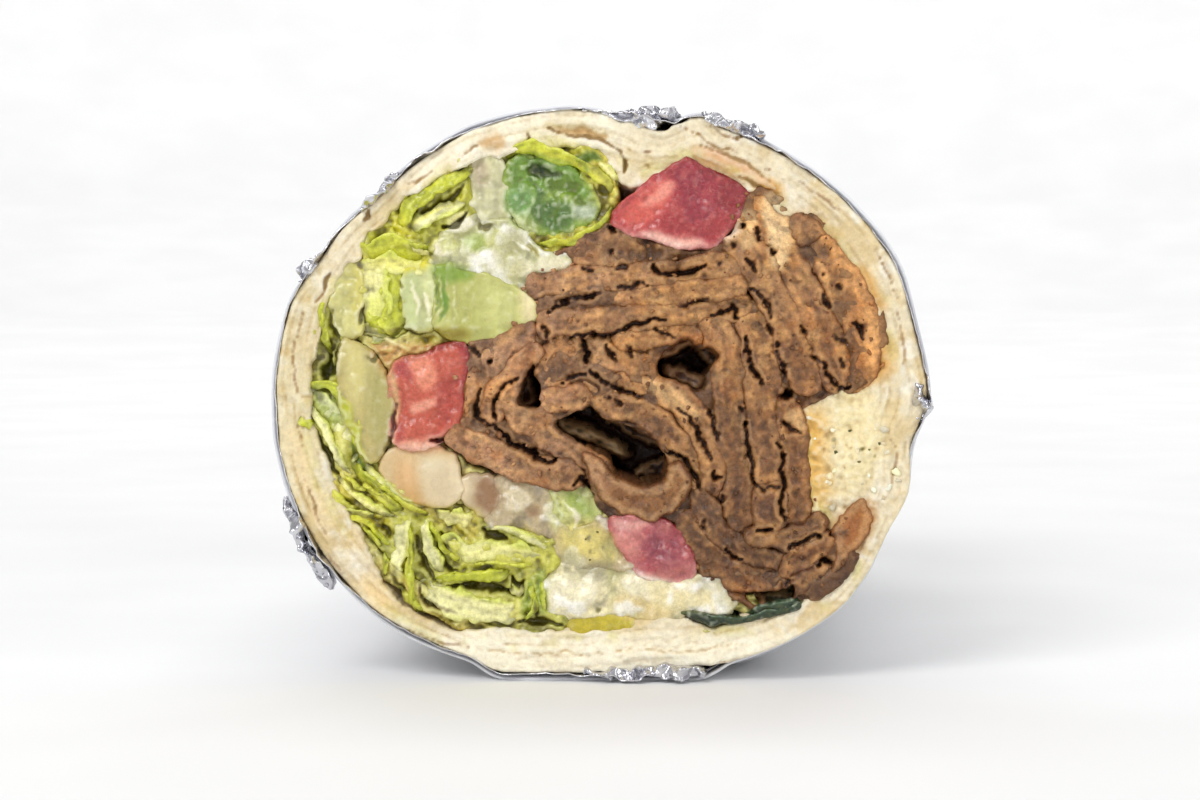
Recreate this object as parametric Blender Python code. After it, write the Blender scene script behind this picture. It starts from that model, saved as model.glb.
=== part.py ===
"""Half of a gyro wrap: a filled flatbread roll, cut across, in foil-lined paper folded shut at the far end.

Lengths here are millimetres until the meshes are made, which are in metres with +Z up. The roll lies along Y. Its cut
face looks towards -Y, and a place on that face is (x, z) as seen from the front. "Depth" is how far behind the cut
face something lies. The origin is the middle of the whole footprint, on the surface that the roll rests on.
"""

import math

import bmesh
import bpy
import numpy as np

MM = 0.001

# Driving dimensions
LENGTH = 131.0  # cut face to the nose of the folded end
HALF_WIDTH = 39.4  # of the bread roll
BOTTOM = 1.7  # lowest point of the bread
TOP = 69.4
ROLL_LENGTH = 99.0  # depth to which the rolled bread reaches
END_FOLD = 8.0  # how far the bread's folded-in end reaches back into the roll
END_SHARE = 0.62  # how far it reaches into the folded end of the wrapper
TAPER = 0.93  # size of the roll's far end against its cut end

# Flatbread: one sheet, rolled nearly twice round
PLY = 1.7  # thickness of the outer turn
GAP = 0.42  # between neighbours in the section
BREAD_DEPTH = (5.0, 3.6, 4.0, 3.9, 4.5, 3.1, 3.0, 3.5, 3.7, 4.9, 5.9, 3.7, 4.4, 3.8, 3.0, 3.0)  # both turns, from +X
SHEET_END = 152.0  # angle, in degrees, of the sheet's outer end
SHEET_TURNS = 1.9
DIVE = 26.0  # degrees in which the sheet steps in under its own end
NOTCH = (80.5, 3.0, 5.0)  # angle, depth and half-width in degrees of the dent in the top
FOLD = (-13.5, 8.2, 11.0)  # the same of the tuck where the sheet is doubled into the filling

# Wrapper: paper with a foil lining
FOIL = 0.3
PAPER = 0.45
CLEAR = 0.32  # between bread, foil and paper
WRAPPED = CLEAR + FOIL + CLEAR + PAPER  # from the bread to the outside
REST_HALF_WIDTH = 12.8  # of the flat strip that the roll rests on
REST_EDGE = 4.0  # width over which the paper then rises to the roll's own curve
HEEL_RISE = 1.6  # how soon the bottom lifts behind the heel
SWELLS = ((-50.0, 2.6, 24.0), (-134.0, 1.8, 24.0))  # angle, height, half-width: the paper sags out behind the cut
SWELL_DEPTH = 14.0
SHOULDER = 114.0  # depth at which the top turns down into the folded end
HEEL = 99.0  # depth at which the bottom lifts
NOSE_HEIGHT = 17.5
NOSE_HALF_WIDTH = 30.0
NOSE_THICKNESS = 2.2
TUCK = 0.16  # how far the sides of the folded end are pushed in
TURN = 1.9  # radius of the turn at the nose, where the flattened end is folded under
FLAP = (12.0, 50.0)  # length and slope in degrees of the part folded under
LIP = (5.5, 6.5, 3.0)  # x of its middle, half-width and reach of the foil's lip under the cut face

# Fineness of the solids
AROUND = 56
CELL = 0.3  # grid of the section
SLACK = 0.13  # how far a simplified outline may stray

PROUD = {  # how far each kind of filling stands out of the cut face, and how unevenly
    "meat": (0.8, 0.7),
    "tomato": (0.4, 0.3),
    "cucumber": (0.3, 0.0),
    "green_pepper": (0.0, 0.0),
    "onion": (-0.4, 0.3),
    "cabbage": (-0.5, 0.0),
    "lettuce": (0.3, 0.5),
    "pickle": (0.2, 0.0),
    "banana_pepper": (-0.5, 0.0),
    "sauce": (-0.8, 0.3),
}

MEAT = {  # half thickness, and the middle line of each shaved slice
    "meat_01": (1.3, [(-7.4, 48.6), (-3, 48.8), (3, 49.4), (9, 49.7), (15.2, 50.6)]),
    "meat_02": (1.25, [(-6.8, 46.2), (-2, 46.4), (4, 47), (10, 47.6), (16.2, 48.2)]),
    "meat_03": (1.25, [(-6.2, 43.7), (-1, 44.1), (5, 44.6), (11, 45.3), (16.8, 46)]),
    "meat_04": (1.8, [(17.3, 53), (20.2, 49.2), (22.3, 45), (23.6, 41), (25, 37.4)]),
    "meat_05": (1.7, [(22.4, 51.8), (24.9, 47.6), (26.5, 43.5), (27.8, 40), (28.9, 37.8)]),
    "meat_06": (1.9, [(27.6, 52.8), (29.3, 49), (31.2, 45.3), (31.8, 41.4), (31.4, 37.4)]),
    "meat_07": (1.6, [(13.9, 43.2), (15.4, 39.5), (15.6, 35), (16.2, 30), (16.6, 25), (16.9, 20.6)]),
    "meat_08": (1.65, [(18.6, 43.8), (19.6, 40), (19.9, 35), (20, 30), (20.4, 26.2)]),
    "meat_09": (1.65, [(20.5, 22.9), (20.6, 20)]),
    "meat_10": (1.4, [(22.6, 33), (23.5, 28.5), (23.9, 24), (24, 20.4)]),
    "meat_11": (1.3, [(0.6, 33.7), (4.8, 33.4), (8, 31.1), (10.3, 28.2), (11.7, 25.2)]),
    "meat_12": (1.2, [(-0.4, 36.9), (5.2, 36.3), (9.8, 34.4), (12.2, 31), (13.3, 27.5), (13.9, 24.6)]),
    "meat_13": (1.6, [(-10.8, 34.2), (-8.5, 32), (-5.5, 29.8), (-2, 28), (0.3, 25.6), (2.5, 23.3), (5.5, 22.2),
                      (8.3, 23.1), (9.6, 25), (9.1, 26.7)]),
    "meat_14": (1.4, [(-17.2, 29.9), (-13.5, 28.1), (-10, 26.5), (-6.5, 25.4), (-3.6, 25.3)]),
    "meat_15": (1.25, [(-16, 31.9), (-15.8, 35), (-14.5, 38.3), (-12.1, 40.6), (-9.4, 42.3)]),
    "meat_16": (1.0, [(-13.2, 33), (-12, 36.1), (-9.9, 38.6), (-8.2, 40.2)]),
    "meat_17": (1.9, [(-5.9, 37.8), (-4.8, 39.4), (-4.2, 40.9)]),
    "meat_18": (1.3, [(-0.9, 41.3), (0.6, 39.8), (3.2, 39), (5.2, 38.7)]),
    "meat_19": (1.1, [(-6.2, 34.3), (-3.6, 35), (-2.2, 34.6)]),
    "meat_20": (0.9, [(3, 42.2), (6.8, 42.3), (10, 42.9), (11.6, 42.6)]),
    "meat_21": (1.3, [(11, 19.4), (12.6, 16.6), (14.8, 14.3), (17.5, 12.9), (20.6, 12.7)]),
    "meat_22": (1.2, [(12.4, 22.6), (13.4, 20.2), (15.2, 17.8), (18, 16), (21.2, 15.5)]),
    "meat_23": (1.1, [(19.4, 17.7), (22, 17.7), (24.6, 18.4), (26.2, 19.6)]),
    "meat_24": (1.25, [(23.4, 14.4), (25.6, 15.9), (27.4, 17.2)]),
    "meat_25": (1.3, [(24, 11.5), (27, 12.9), (29, 15.2), (30.6, 18), (31.4, 20.2)]),
    "meat_26": (1.9, [(-1.4, 52.5), (1, 53), (3.2, 52.3)]),
    "meat_27": (1.6, [(18.4, 57.4), (20, 55.8), (21.8, 54.9)]),
    "meat_28": (1.5, [(24.6, 55.3), (26.2, 55.6)]),
}
CHUNKS = {  # outlines of the chunky fillings
    "tomato_top": [(1.9, 56.6), (6, 60.2), (10.6, 63), (14, 61.4), (17.6, 59.5), (15.4, 55.6), (12.6, 53.6), (8, 54)],
    "tomato_left": [(-25, 38), (-21, 39.6), (-17, 40.6), (-17, 36), (-18.3, 31), (-21, 29.4), (-24.8, 29.8)],
    "tomato_bottom": [(1.6, 19.6), (5, 19.6), (8.4, 19.2), (10.4, 16.2), (10.8, 13.2), (7.8, 12.7), (4.6, 13.8)],
    "tomato_core": [(-25.8, 27.6), (-21.6, 28.5), (-18.2, 27.3), (-17.4, 23), (-21.5, 22), (-25.8, 24)],
    "green_pepper": [(-11, 62.6), (-8.6, 64), (-4.4, 63), (-1, 59.8), (-1.2, 56.6), (-4.6, 54.9), (-8.4, 55.3),
                     (-10.8, 58.4)],
    "cucumber": [(-19.6, 50), (-15, 49.8), (-9, 46.4), (-9.2, 43.8), (-14, 41.9), (-19.4, 43.2)],
    "onion_upper": [(-15.4, 63), (-12.4, 63.4), (-11.6, 60), (-11.6, 56.8), (-14.4, 56.6), (-15.6, 59.4)],
    "onion_lower": [(-16.4, 24.4), (-13.4, 24.6), (-12.4, 22), (-13.8, 20.6), (-15.6, 21.6)],
    "cabbage_lower": [(-5.6, 23.6), (-2.8, 23.7), (-0.9, 21.6), (-0.6, 19.4), (-4, 18.8), (-5.4, 20.4)],
    "lettuce_rib_left": [(-31.4, 41.2), (-28.6, 40), (-26.4, 36.6), (-26.2, 30.4), (-28, 27.4), (-30.2, 31.4),
                         (-31.8, 36.6)],
    "lettuce_rib_upper": [(-31, 50.4), (-29.6, 49.6), (-29.4, 43.6), (-31.4, 42.8), (-32.4, 46)],
    "lettuce_rib_inner": [(-23.4, 50), (-20.6, 50.4), (-20.4, 44), (-23.4, 44)],
    "pickle": [(9.8, 8.6), (14, 8.5), (18, 7.9), (22, 9.6), (25.4, 9.7), (22, 7.8), (18, 7), (13, 7.4)],
    "banana_pepper": [(-3.4, 7.5), (0, 7.5), (4.2, 7.2), (0, 6.5), (-3.4, 6.6)],
}
BEDS = {  # outlines of the soft fillings, which take up what room the others leave
    "lettuce_top": [(-28.6, 52.6), (-25.4, 58), (-16.6, 63.4), (-15.4, 57), (-18.6, 55), (-21, 51.8), (-24.4, 49),
                    (-24, 43.4), (-28.6, 43), (-28.6, 48)],
    "lettuce_crown": [(-11.4, 64.6), (-8, 66.2), (-2, 65), (0.8, 62.4), (1.2, 58), (-1.2, 54.6), (-6, 52.6),
                      (-8.4, 54)],
    "lettuce_left": [(-36.8, 34), (-33, 47), (-31, 42), (-32.6, 37), (-30.8, 31), (-28, 26.8), (-24.6, 21.8),
                     (-28, 19), (-34, 23)],
    "lettuce_bottom": [(-31.4, 21), (-26, 21.8), (-17, 20.8), (-12.6, 18.6), (-7, 18), (-5.6, 14), (-7.2, 10),
                       (-4, 7.9), (-6, 6.2), (-17, 4.8), (-26, 12)],
    "sauce_top": [(-19.8, 54), (-16.4, 56.6), (-12, 56.2), (-7.6, 52.6), (-4, 51.4), (-5, 49.6), (-12, 48.4),
                  (-17, 50.4), (-20, 51.6)],
    "sauce_middle": [(-12.4, 24.2), (-6.4, 24), (-5.4, 20), (1.6, 18.6), (3.8, 14), (-4.6, 14.6), (-6.4, 18.2),
                     (-12, 19), (-13, 21)],
    "sauce_bottom": [(-6.6, 13.6), (3, 13.6), (8, 12.4), (14.6, 12.4), (15.4, 9), (8, 8.4), (-4, 8.2), (-6.8, 9.6)],
}


def smooth(points, closed=False, steps=6):
    """Points along a Catmull-Rom curve through the given ones."""
    p = np.array(points, float)
    if closed:
        p = np.vstack([p[-1:], p, p[:2]])
    else:
        p = np.vstack([2 * p[0] - p[1], p, 2 * p[-1] - p[-2]])
    t = np.linspace(0, 1, steps, endpoint=False)[:, None]
    spans = []
    for a, b, c, d in zip(p, p[1:], p[2:], p[3:]):
        spans.append(b + t * (c - a) / 2 + t**2 * (a - 2.5 * b + 2 * c - d / 2) + t**3 * (1.5 * (b - c) + (d - a) / 2))
    curve = np.vstack(spans)
    return curve if closed else np.vstack([curve, p[-2:-1]])


def step(value, start, end):
    """0 before start, 1 after end, and smooth between them."""
    t = np.clip((value - start) / (end - start), 0, 1)
    return t * t * (3 - 2 * t)


def bump(angle, middle, height, half_width):
    """A soft rise of the given height round an angle. Angles are in degrees."""
    off = (angle - middle + 180) % 360 - 180
    return height * np.exp(-((off / half_width) ** 2))


# The roll's outline, as a distance from its middle at each angle

MIDDLE = (TOP + BOTTOM) / 2
HALF_HEIGHT = (TOP - BOTTOM) / 2


def roll_radius(angle):
    """Radius of the roll's smooth outline: an ellipse above, squarer below where its weight spreads it."""
    a = np.radians(angle)
    power = 2.0 + 0.3 * step(-np.sin(a), -0.1, 0.8)
    return (np.abs(np.cos(a) / HALF_WIDTH) ** power + np.abs(np.sin(a) / HALF_HEIGHT) ** power) ** (-1 / power)


def outer_radius(angle):
    """The bread's outside, with the dent in its top."""
    return roll_radius(angle) - bump(angle, *NOTCH)


def filling_radius(angle):
    """The bread's inside: both turns of the sheet deep, and deeper where it is tucked in."""
    stops = np.arange(len(BREAD_DEPTH) + 1) * 360 / len(BREAD_DEPTH)
    depth = np.interp(angle % 360, stops, BREAD_DEPTH + BREAD_DEPTH[:1])
    return outer_radius(angle) - depth - bump(angle, *FOLD)


def polar(angle, radius):
    a = np.radians(angle)
    return np.stack([radius * np.cos(a), MIDDLE + radius * np.sin(a)], axis=-1)


def bread_outline():
    """The rolled sheet's section: out along the sheet's outer side, and back along its inner side."""
    turned = np.linspace(0, 360 * SHEET_TURNS, int(AROUND * SHEET_TURNS))
    angle = SHEET_END + turned
    inward = step(turned, 360 - DIVE, 360)
    under = outer_radius(angle) - PLY - GAP
    outside = outer_radius(angle) * (1 - inward) + under * inward
    inside = (outer_radius(angle) - PLY) * (1 - inward) + filling_radius(angle) * inward
    thin = 0.45 * PLY  # the sheet's two ends are pressed thin
    ends = np.minimum(step(turned, -6, 9), 1 - step(turned, turned[-1] - 9, turned[-1] + 6))
    inside = outside - np.maximum((outside - inside) * ends, thin)
    return np.vstack([polar(angle, outside), polar(angle, inside)[::-1]])


# Fields: on a grid over the section, how far each place is outside a shape, negative inside


def make_grid():
    x = np.arange(-HALF_WIDTH - 1, HALF_WIDTH + 1, CELL)
    z = np.arange(BOTTOM - 1, TOP + 1, CELL)
    return np.stack(np.meshgrid(x, z), axis=-1)


def distance(grid, path):
    """Distance from each place to a line of points."""
    nearest = np.full(grid.shape[:2], np.inf)
    for a, b in zip(path, path[1:]):
        along = b - a
        t = np.clip(((grid - a) @ along) / max(along @ along, 1e-9), 0, 1)
        nearest = np.minimum(nearest, np.linalg.norm(grid - a - t[..., None] * along, axis=-1))
    return nearest


def ring_field(grid, outline):
    """Distance outside a closed outline, negative inside it."""
    ring = np.vstack([outline, outline[:1]])
    inside = np.zeros(grid.shape[:2], bool)
    for (xa, za), (xb, zb) in zip(ring, ring[1:]):
        if za != zb:
            spans = (grid[..., 1] < za) != (grid[..., 1] < zb)
            inside ^= spans & (grid[..., 0] < xa + (grid[..., 1] - za) / (zb - za) * (xb - xa))
    return distance(grid, ring) * np.where(inside, -1, 1)


def bread_field(grid):
    """Distance outside the room that the bread leaves, so that no filling touches it."""
    offset = grid - np.array([0, MIDDLE])
    angle = np.degrees(np.arctan2(offset[..., 1], offset[..., 0]))
    return filling_radius(angle) - np.linalg.norm(offset, axis=-1)


def share_out(grid):
    """The outline of every filling. Slices and chunks that would overlap meet halfway; beds take what is left."""
    firm = {name: distance(grid, smooth(line)) - half for name, (half, line) in MEAT.items()}
    firm.update({name: ring_field(grid, smooth(points, closed=True)) for name, points in CHUNKS.items()})
    soft = {name: ring_field(grid, smooth(points, closed=True)) for name, points in BEDS.items()}
    taken = bread_field(grid)
    outlines = {}
    for group in (firm, soft):
        for name, field in group.items():
            others = [other for key, other in group.items() if key != name]
            nearest = np.minimum.reduce([*others])
            room = np.maximum.reduce([field, field - nearest + GAP, GAP - taken])
            outlines[name] = simplify(contour(grid, room))
        taken = np.minimum.reduce([taken, *group.values()])
    return outlines


def crossing(grid, field, a, b):
    """Where the field is zero between two neighbouring grid places."""
    share = field[a] / (field[a] - field[b])
    return grid[a] + share * (grid[b] - grid[a])


def contour(grid, field):
    """The longest closed line along which a field is zero, found cell by cell."""
    inside = field < 0
    mixed = inside[:-1, :-1].astype(int) + inside[1:, :-1] + inside[:-1, 1:] + inside[1:, 1:]
    links = {}
    for row, column in np.argwhere((mixed > 0) & (mixed < 4)):
        corners = [(row, column), (row, column + 1), (row + 1, column + 1), (row + 1, column)]
        edges = [tuple(sorted(pair)) for pair in zip(corners, corners[1:] + corners[:1])]
        cut = [edge for edge in edges if inside[edge[0]] != inside[edge[1]]]
        if len(cut) == 4 and inside[row, column]:
            cut = cut[1:] + cut[:1]
        for first, second in zip(cut[::2], cut[1::2]):
            links.setdefault(first, []).append(second)
            links.setdefault(second, []).append(first)
    loops = []
    while links:
        here = next(iter(links))
        loop = []
        while here in links:
            loop.append(crossing(grid, field, *here))
            onward = [edge for edge in links.pop(here) if edge in links]
            here = onward[0] if onward else None
        loops.append(np.array(loop))
    return max(loops, key=len)


def simplify(loop):
    """The loop with only the points that keep it within SLACK of its shape."""
    far = int(np.argmax(np.linalg.norm(loop - loop[0], axis=1)))
    halves = [np.vstack([loop[: far + 1]]), np.vstack([loop[far:], loop[:1]])]
    return np.vstack([thin_out(half)[:-1] for half in halves])


def thin_out(line):
    along = line[-1] - line[0]
    off = line - line[0]
    if np.linalg.norm(along) < 1e-6:
        stray = np.linalg.norm(off, axis=1)
    else:
        stray = np.abs(off[:, 0] * along[1] - off[:, 1] * along[0]) / np.linalg.norm(along)
    worst = int(np.argmax(stray))
    if stray[worst] < SLACK:
        return line[[0, -1]]
    return np.vstack([thin_out(line[: worst + 1])[:-1], thin_out(line[worst:])])


# Solids


def world(section, depth):
    """Section places (x, z) at a depth, or each at its own, behind the cut face, in metres."""
    section = np.asarray(section, float)
    depths = np.broadcast_to(depth, len(section))
    middle = (LENGTH + TURN - LIP[2]) / 2
    return [(x * MM, (y - middle) * MM, z * MM) for (x, z), y in zip(section, depths)]


def material(name, colour, roughness=0.6, metallic=0.0):
    made = bpy.data.materials.new(name)
    made.use_nodes = True
    shader = made.node_tree.nodes["Principled BSDF"]
    shader.inputs["Base Color"].default_value = (*colour, 1)
    shader.inputs["Roughness"].default_value = roughness
    shader.inputs["Metallic"].default_value = metallic
    made.diffuse_color = (*colour, 1)
    return made


def solid(name, rings, finish, closed_far=True):
    """A closed solid over rings of points in metres. Its first and last rings are capped, or, if they are one and
    the same ring, the rings already close on themselves."""
    mesh = bmesh.new()
    looped = not closed_far
    loops = [[mesh.verts.new(p) for p in ring] for ring in rings]
    pairs = list(zip(loops, loops[1:])) + ([(loops[-1], loops[0])] if looped else [])
    for near, far in pairs:
        for i in range(len(near)):
            j = (i + 1) % len(near)
            mesh.faces.new((near[i], near[j], far[j], far[i]))
    if not looped:
        mesh.faces.new(loops[0])
        mesh.faces.new(loops[-1])
    bmesh.ops.recalc_face_normals(mesh, faces=mesh.faces)
    data = bpy.data.meshes.new(name)
    mesh.to_mesh(data)
    mesh.free()
    data.materials.append(finish)
    thing = bpy.data.objects.new(name, data)
    bpy.context.collection.objects.link(thing)
    return thing


def tapered(section, share):
    """A section of the roll part of the way to its far end, which is smaller but rests on the same level."""
    size = 1 - (1 - TAPER) * share
    return (np.asarray(section) - [0, BOTTOM]) * size + [0, BOTTOM]


def run_through(name, section, finish, start, end):
    """A piece that keeps its section from the cut face through the roll."""
    rings = [world(tapered(section, depth / ROLL_LENGTH), depth) for depth in (start, end)]
    return solid(name, rings, finish)


def wrapper_section(depth, clear):
    """The wrapper's section round the roll, the given distance outside it, flat where it rests."""
    angle = np.arange(AROUND) * 360 / AROUND
    sag = step(depth, 0, SWELL_DEPTH) * (1 - step(depth, 0.7 * HEEL, HEEL))
    swell = sum(bump(angle, *s) for s in SWELLS) * sag
    section = polar(angle, roll_radius(angle))
    flat = 1 - step(np.abs(section[:, 0]), REST_HALF_WIDTH, REST_HALF_WIDTH + REST_EDGE)
    low = section[:, 1] < MIDDLE
    section = tapered(polar(angle, roll_radius(angle) + swell), depth / ROLL_LENGTH)
    section = section + (polar(angle, 1.0) - [0, MIDDLE]) * clear
    floor = WRAPPED - clear
    section[:, 1] = np.where(low, section[:, 1] * (1 - flat) + floor * flat, section[:, 1])
    return section


def arc(share, start, lead, draw, end):
    """A place on the Bezier curve from start to end, which leaves towards lead and arrives from draw."""
    weights = np.array([(1 - share) ** 3, 3 * share * (1 - share) ** 2, 3 * share**2 * (1 - share), share**3])
    return weights @ np.array([start, lead, draw, end], float)


def folded_ring(share, clear):
    """A ring of the folded end. The top comes down a steep slope and the bottom lifts to meet it at the nose, so
    the rings lean. The sides narrow, and are pushed in between top and bottom."""
    full = wrapper_section(HEEL, clear)
    lowest, highest = full[:, 1].min(), full[:, 1].max()
    inward = WRAPPED - clear
    half = max(NOSE_THICKNESS / 2 - inward, 0.3)
    tip = LENGTH - 1.5 * inward
    top = arc(share, (SHOULDER - 6, highest), (SHOULDER + 4 - inward, highest - 1),
              (SHOULDER + 6 - inward, highest - 15), (tip, NOSE_HEIGHT + half))
    low = arc(share, (HEEL, lowest), (HEEL + 6, lowest + HEEL_RISE), (HEEL + 20 - inward, lowest + 4),
              (tip, NOSE_HEIGHT - half))
    height = (full[:, 1] - lowest) / (highest - lowest)
    path = low + (top - low) * height[:, None]
    narrow = 1 + (NOSE_HALF_WIDTH / np.abs(full[:, 0]).max() - 1) * step(share, 0, 1.15)
    pushed = TUCK * math.sin(math.pi * share) * (4 * height * (1 - height)) ** 2
    return world(np.stack([full[:, 0] * narrow * (1 - pushed), path[:, 1]], axis=-1), path[:, 0])


def wrapper_rings(clear, depths, shares):
    """Rings of one surface of the wrapper, from its cut edge to the nose of its folded end."""
    rings = [world(wrapper_section(depth, clear), depth) for depth in depths]
    return rings + [folded_ring(share, clear) for share in shares]


def flap_rings():
    """The flattened end of the paper past the nose, turned under and pressed back against the folded end."""
    nose = np.array(folded_ring(1.0, WRAPPED)) / MM
    across, off = nose[:, 0], nose[:, 2] - NOSE_HEIGHT
    front = nose[0, 1]
    length, slope = FLAP
    stations = [(TURN * math.sin(math.radians(way)), TURN * (math.cos(math.radians(way)) - 1), way)
                for way in (45, 90, 180 - slope)]
    ahead, down, way = stations[-1]
    back, sunk = math.cos(math.radians(slope)), math.sin(math.radians(slope))
    stations += [(ahead - reach * back, down - reach * sunk, way) for reach in (0.5 * length, length)]
    rings = []
    for ahead, down, way in stations:
        lean = math.radians(way)
        rings.append([(x * MM, (front + ahead + z * math.sin(lean)) * MM,
                       (NOSE_HEIGHT + down + z * math.cos(lean)) * MM) for x, z in zip(across, off)])
    return rings


def lipped(ring):
    """The foil's cut edge, drawn forward into a lip under the cut face."""
    middle, half_width, reach = (value * MM for value in LIP)
    return [(x, y - reach * math.exp(-(((x - middle) / half_width) ** 4)) * (z < MIDDLE * MM), z) for x, y, z in ring]


def make_wrapper():
    depths = (0, 5, 10, 16, 40, 70, 88)
    inner = CLEAR + FOIL + CLEAR
    outside = wrapper_rings(WRAPPED, depths, (0, 0.12, 0.26, 0.42, 0.58, 0.74, 0.88, 1.0))
    inside = wrapper_rings(inner, depths, (0, 0.12, 0.26, 0.42, 0.58, 0.74, 0.88))
    paper = material("paper", (0.86, 0.86, 0.87), 0.55)
    solid("paper_wrap", inside[::-1] + outside + flap_rings(), paper)
    foil = material("foil", (0.8, 0.8, 0.82), 0.3, 1.0)
    inside = wrapper_rings(CLEAR, depths, ())
    outside = wrapper_rings(CLEAR + FOIL, depths, ())
    inside[0], outside[0] = lipped(inside[0]), lipped(outside[0])
    solid("foil_lining", inside[::-1] + outside, foil, closed_far=False)


def longest_match(name, table):
    """The longest key that a name starts with."""
    return max((key for key in table if name.startswith(key)), key=len)


def make_bread():
    """The rolled sheet, joined to its own far end, which is folded in to close the roll."""
    finish = material("flatbread", (0.86, 0.76, 0.56), 0.75)
    roll = run_through("flatbread", bread_outline(), finish, 0, ROLL_LENGTH)
    inside = -0.65 * PLY  # the end fold meets the roll within its outer turn
    near = world(wrapper_section(ROLL_LENGTH - END_FOLD, inside), ROLL_LENGTH - END_FOLD)
    rings = [near] + [folded_ring(share * END_SHARE, inside) for share in (0, 0.25, 0.5, 0.75, 1)]
    end_fold = solid("end_fold", rings, finish)
    end_fold.hide_render = True
    end_fold.display_type = "WIRE"
    union = roll.modifiers.new("end fold", "BOOLEAN")
    union.operation = "UNION"
    union.solver = "MANIFOLD"
    union.object = end_fold


def make_fillings():
    colours = {
        "meat": (0.33, 0.19, 0.12),
        "tomato": (0.72, 0.2, 0.2),
        "green_pepper": (0.33, 0.5, 0.22),
        "cucumber": (0.66, 0.75, 0.45),
        "onion": (0.8, 0.8, 0.72),
        "cabbage": (0.74, 0.8, 0.58),
        "lettuce": (0.62, 0.7, 0.25),
        "lettuce_rib": (0.82, 0.82, 0.6),
        "tomato_core": (0.85, 0.68, 0.6),
        "pickle": (0.12, 0.2, 0.1),
        "banana_pepper": (0.7, 0.62, 0.15),
        "sauce": (0.92, 0.9, 0.82),
    }
    finishes = {kind: material(kind, colour, 0.5) for kind, colour in colours.items()}
    for index, (name, outline) in enumerate(share_out(make_grid()).items()):
        kind = longest_match(name, finishes)
        proud, uneven = PROUD[longest_match(name, PROUD)]
        start = -proud - uneven * math.sin(2.4 * index)
        run_through(name, outline, finishes[kind], start, ROLL_LENGTH - END_FOLD - GAP)


def main():
    for thing in list(bpy.data.objects):
        bpy.data.objects.remove(thing)
    make_wrapper()
    make_bread()
    make_fillings()


main()
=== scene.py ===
"""Looks of the gyro wrap half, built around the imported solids.

Places on the cut face are (x, z) in millimetres, as seen from the front. Heights are millimetres towards the viewer
from the plane of the cut, which looks towards -Y. Each filling keeps the outline of its own solid, made uneven, and
gets a carved front: see Relief, below.
"""

import math

import bmesh
import bpy
import numpy as np
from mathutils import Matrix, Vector


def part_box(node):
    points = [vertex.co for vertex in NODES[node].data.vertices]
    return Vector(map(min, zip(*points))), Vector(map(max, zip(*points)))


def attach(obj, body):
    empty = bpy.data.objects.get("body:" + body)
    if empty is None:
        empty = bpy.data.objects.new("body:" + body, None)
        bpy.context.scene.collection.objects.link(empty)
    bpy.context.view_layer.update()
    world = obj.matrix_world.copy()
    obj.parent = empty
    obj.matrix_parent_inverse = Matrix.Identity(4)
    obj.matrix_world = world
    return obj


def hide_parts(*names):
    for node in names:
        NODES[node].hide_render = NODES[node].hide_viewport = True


MM = 0.001
CELL = 0.18  # grid of the carved cut face
HALF_WIDTH = 41.0  # the grid's reach
HEIGHT = 71.0

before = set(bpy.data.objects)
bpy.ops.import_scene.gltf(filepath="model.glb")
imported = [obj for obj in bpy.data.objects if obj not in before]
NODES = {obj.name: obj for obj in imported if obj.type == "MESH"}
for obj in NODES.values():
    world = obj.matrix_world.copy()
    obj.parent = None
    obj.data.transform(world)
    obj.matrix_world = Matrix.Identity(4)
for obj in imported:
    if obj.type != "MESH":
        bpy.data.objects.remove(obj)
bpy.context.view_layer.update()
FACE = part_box("flatbread")[0].y / MM  # where the plane of the cut lies along Y
ROLL_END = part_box("meat_01")[1].y / MM


# Noise: smooth random values on lattices, the same each run

TABLES = {}


def noise(seed, u, v):
    """Smooth noise from -1 to 1 at places (u, v), one bump for each unit."""
    if seed not in TABLES:
        TABLES[seed] = np.random.default_rng(seed).uniform(-1, 1, (128, 128))
    table = TABLES[seed]
    column, row = np.floor(u).astype(int), np.floor(v).astype(int)
    s, t = u - column, v - row
    s, t = s * s * (3 - 2 * s), t * t * (3 - 2 * t)
    left, right, low, high = column % 128, (column + 1) % 128, row % 128, (row + 1) % 128
    below = table[low, left] * (1 - s) + table[low, right] * s
    above = table[high, left] * (1 - s) + table[high, right] * s
    return below * (1 - t) + above * t


def rough(seed, u, v, size, octaves=3, gain=0.5):
    """Noise of several sizes, the largest of the given size in millimetres."""
    total = np.zeros(np.broadcast(u, v).shape)
    for octave in range(octaves):
        scale = 2**octave / size
        total += gain**octave * noise(seed + octave, u * scale + 17.3 * octave, v * scale + 5.1 * octave)
    return total


def pits(seed, u, v, size):
    """Distance to the nearest of many scattered points, one for each square of the given size, in those sizes."""
    rng = np.random.default_rng(seed)
    offsets = rng.random((128, 128, 2))
    column, row = np.floor(u / size).astype(int), np.floor(v / size).astype(int)
    nearest = np.full(np.shape(u), 9.0)
    for down in (-1, 0, 1):
        for across in (-1, 0, 1):
            point = offsets[(row + down) % 128, (column + across) % 128]
            du = column + across + point[..., 0] - u / size
            dv = row + down + point[..., 1] - v / size
            nearest = np.minimum(nearest, np.hypot(du, dv))
    return nearest


def crumple(seed, u, v, size, octaves=3):
    """A sheet folded along sharp lines: 0 in the creases and rising between them."""
    total = np.zeros(np.broadcast(u, v).shape)
    for octave in range(octaves):
        scale = 2**octave / size
        shift = 0.35 * noise(seed + 50 + octave, u * scale * 0.7, v * scale * 0.7)
        total += 0.55**octave * np.abs(noise(seed + octave, u * scale + shift, v * scale + shift))
    return total


def step(value, start, end):
    t = np.clip((value - start) / (end - start), 0, 1)
    return t * t * (3 - 2 * t)


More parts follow.
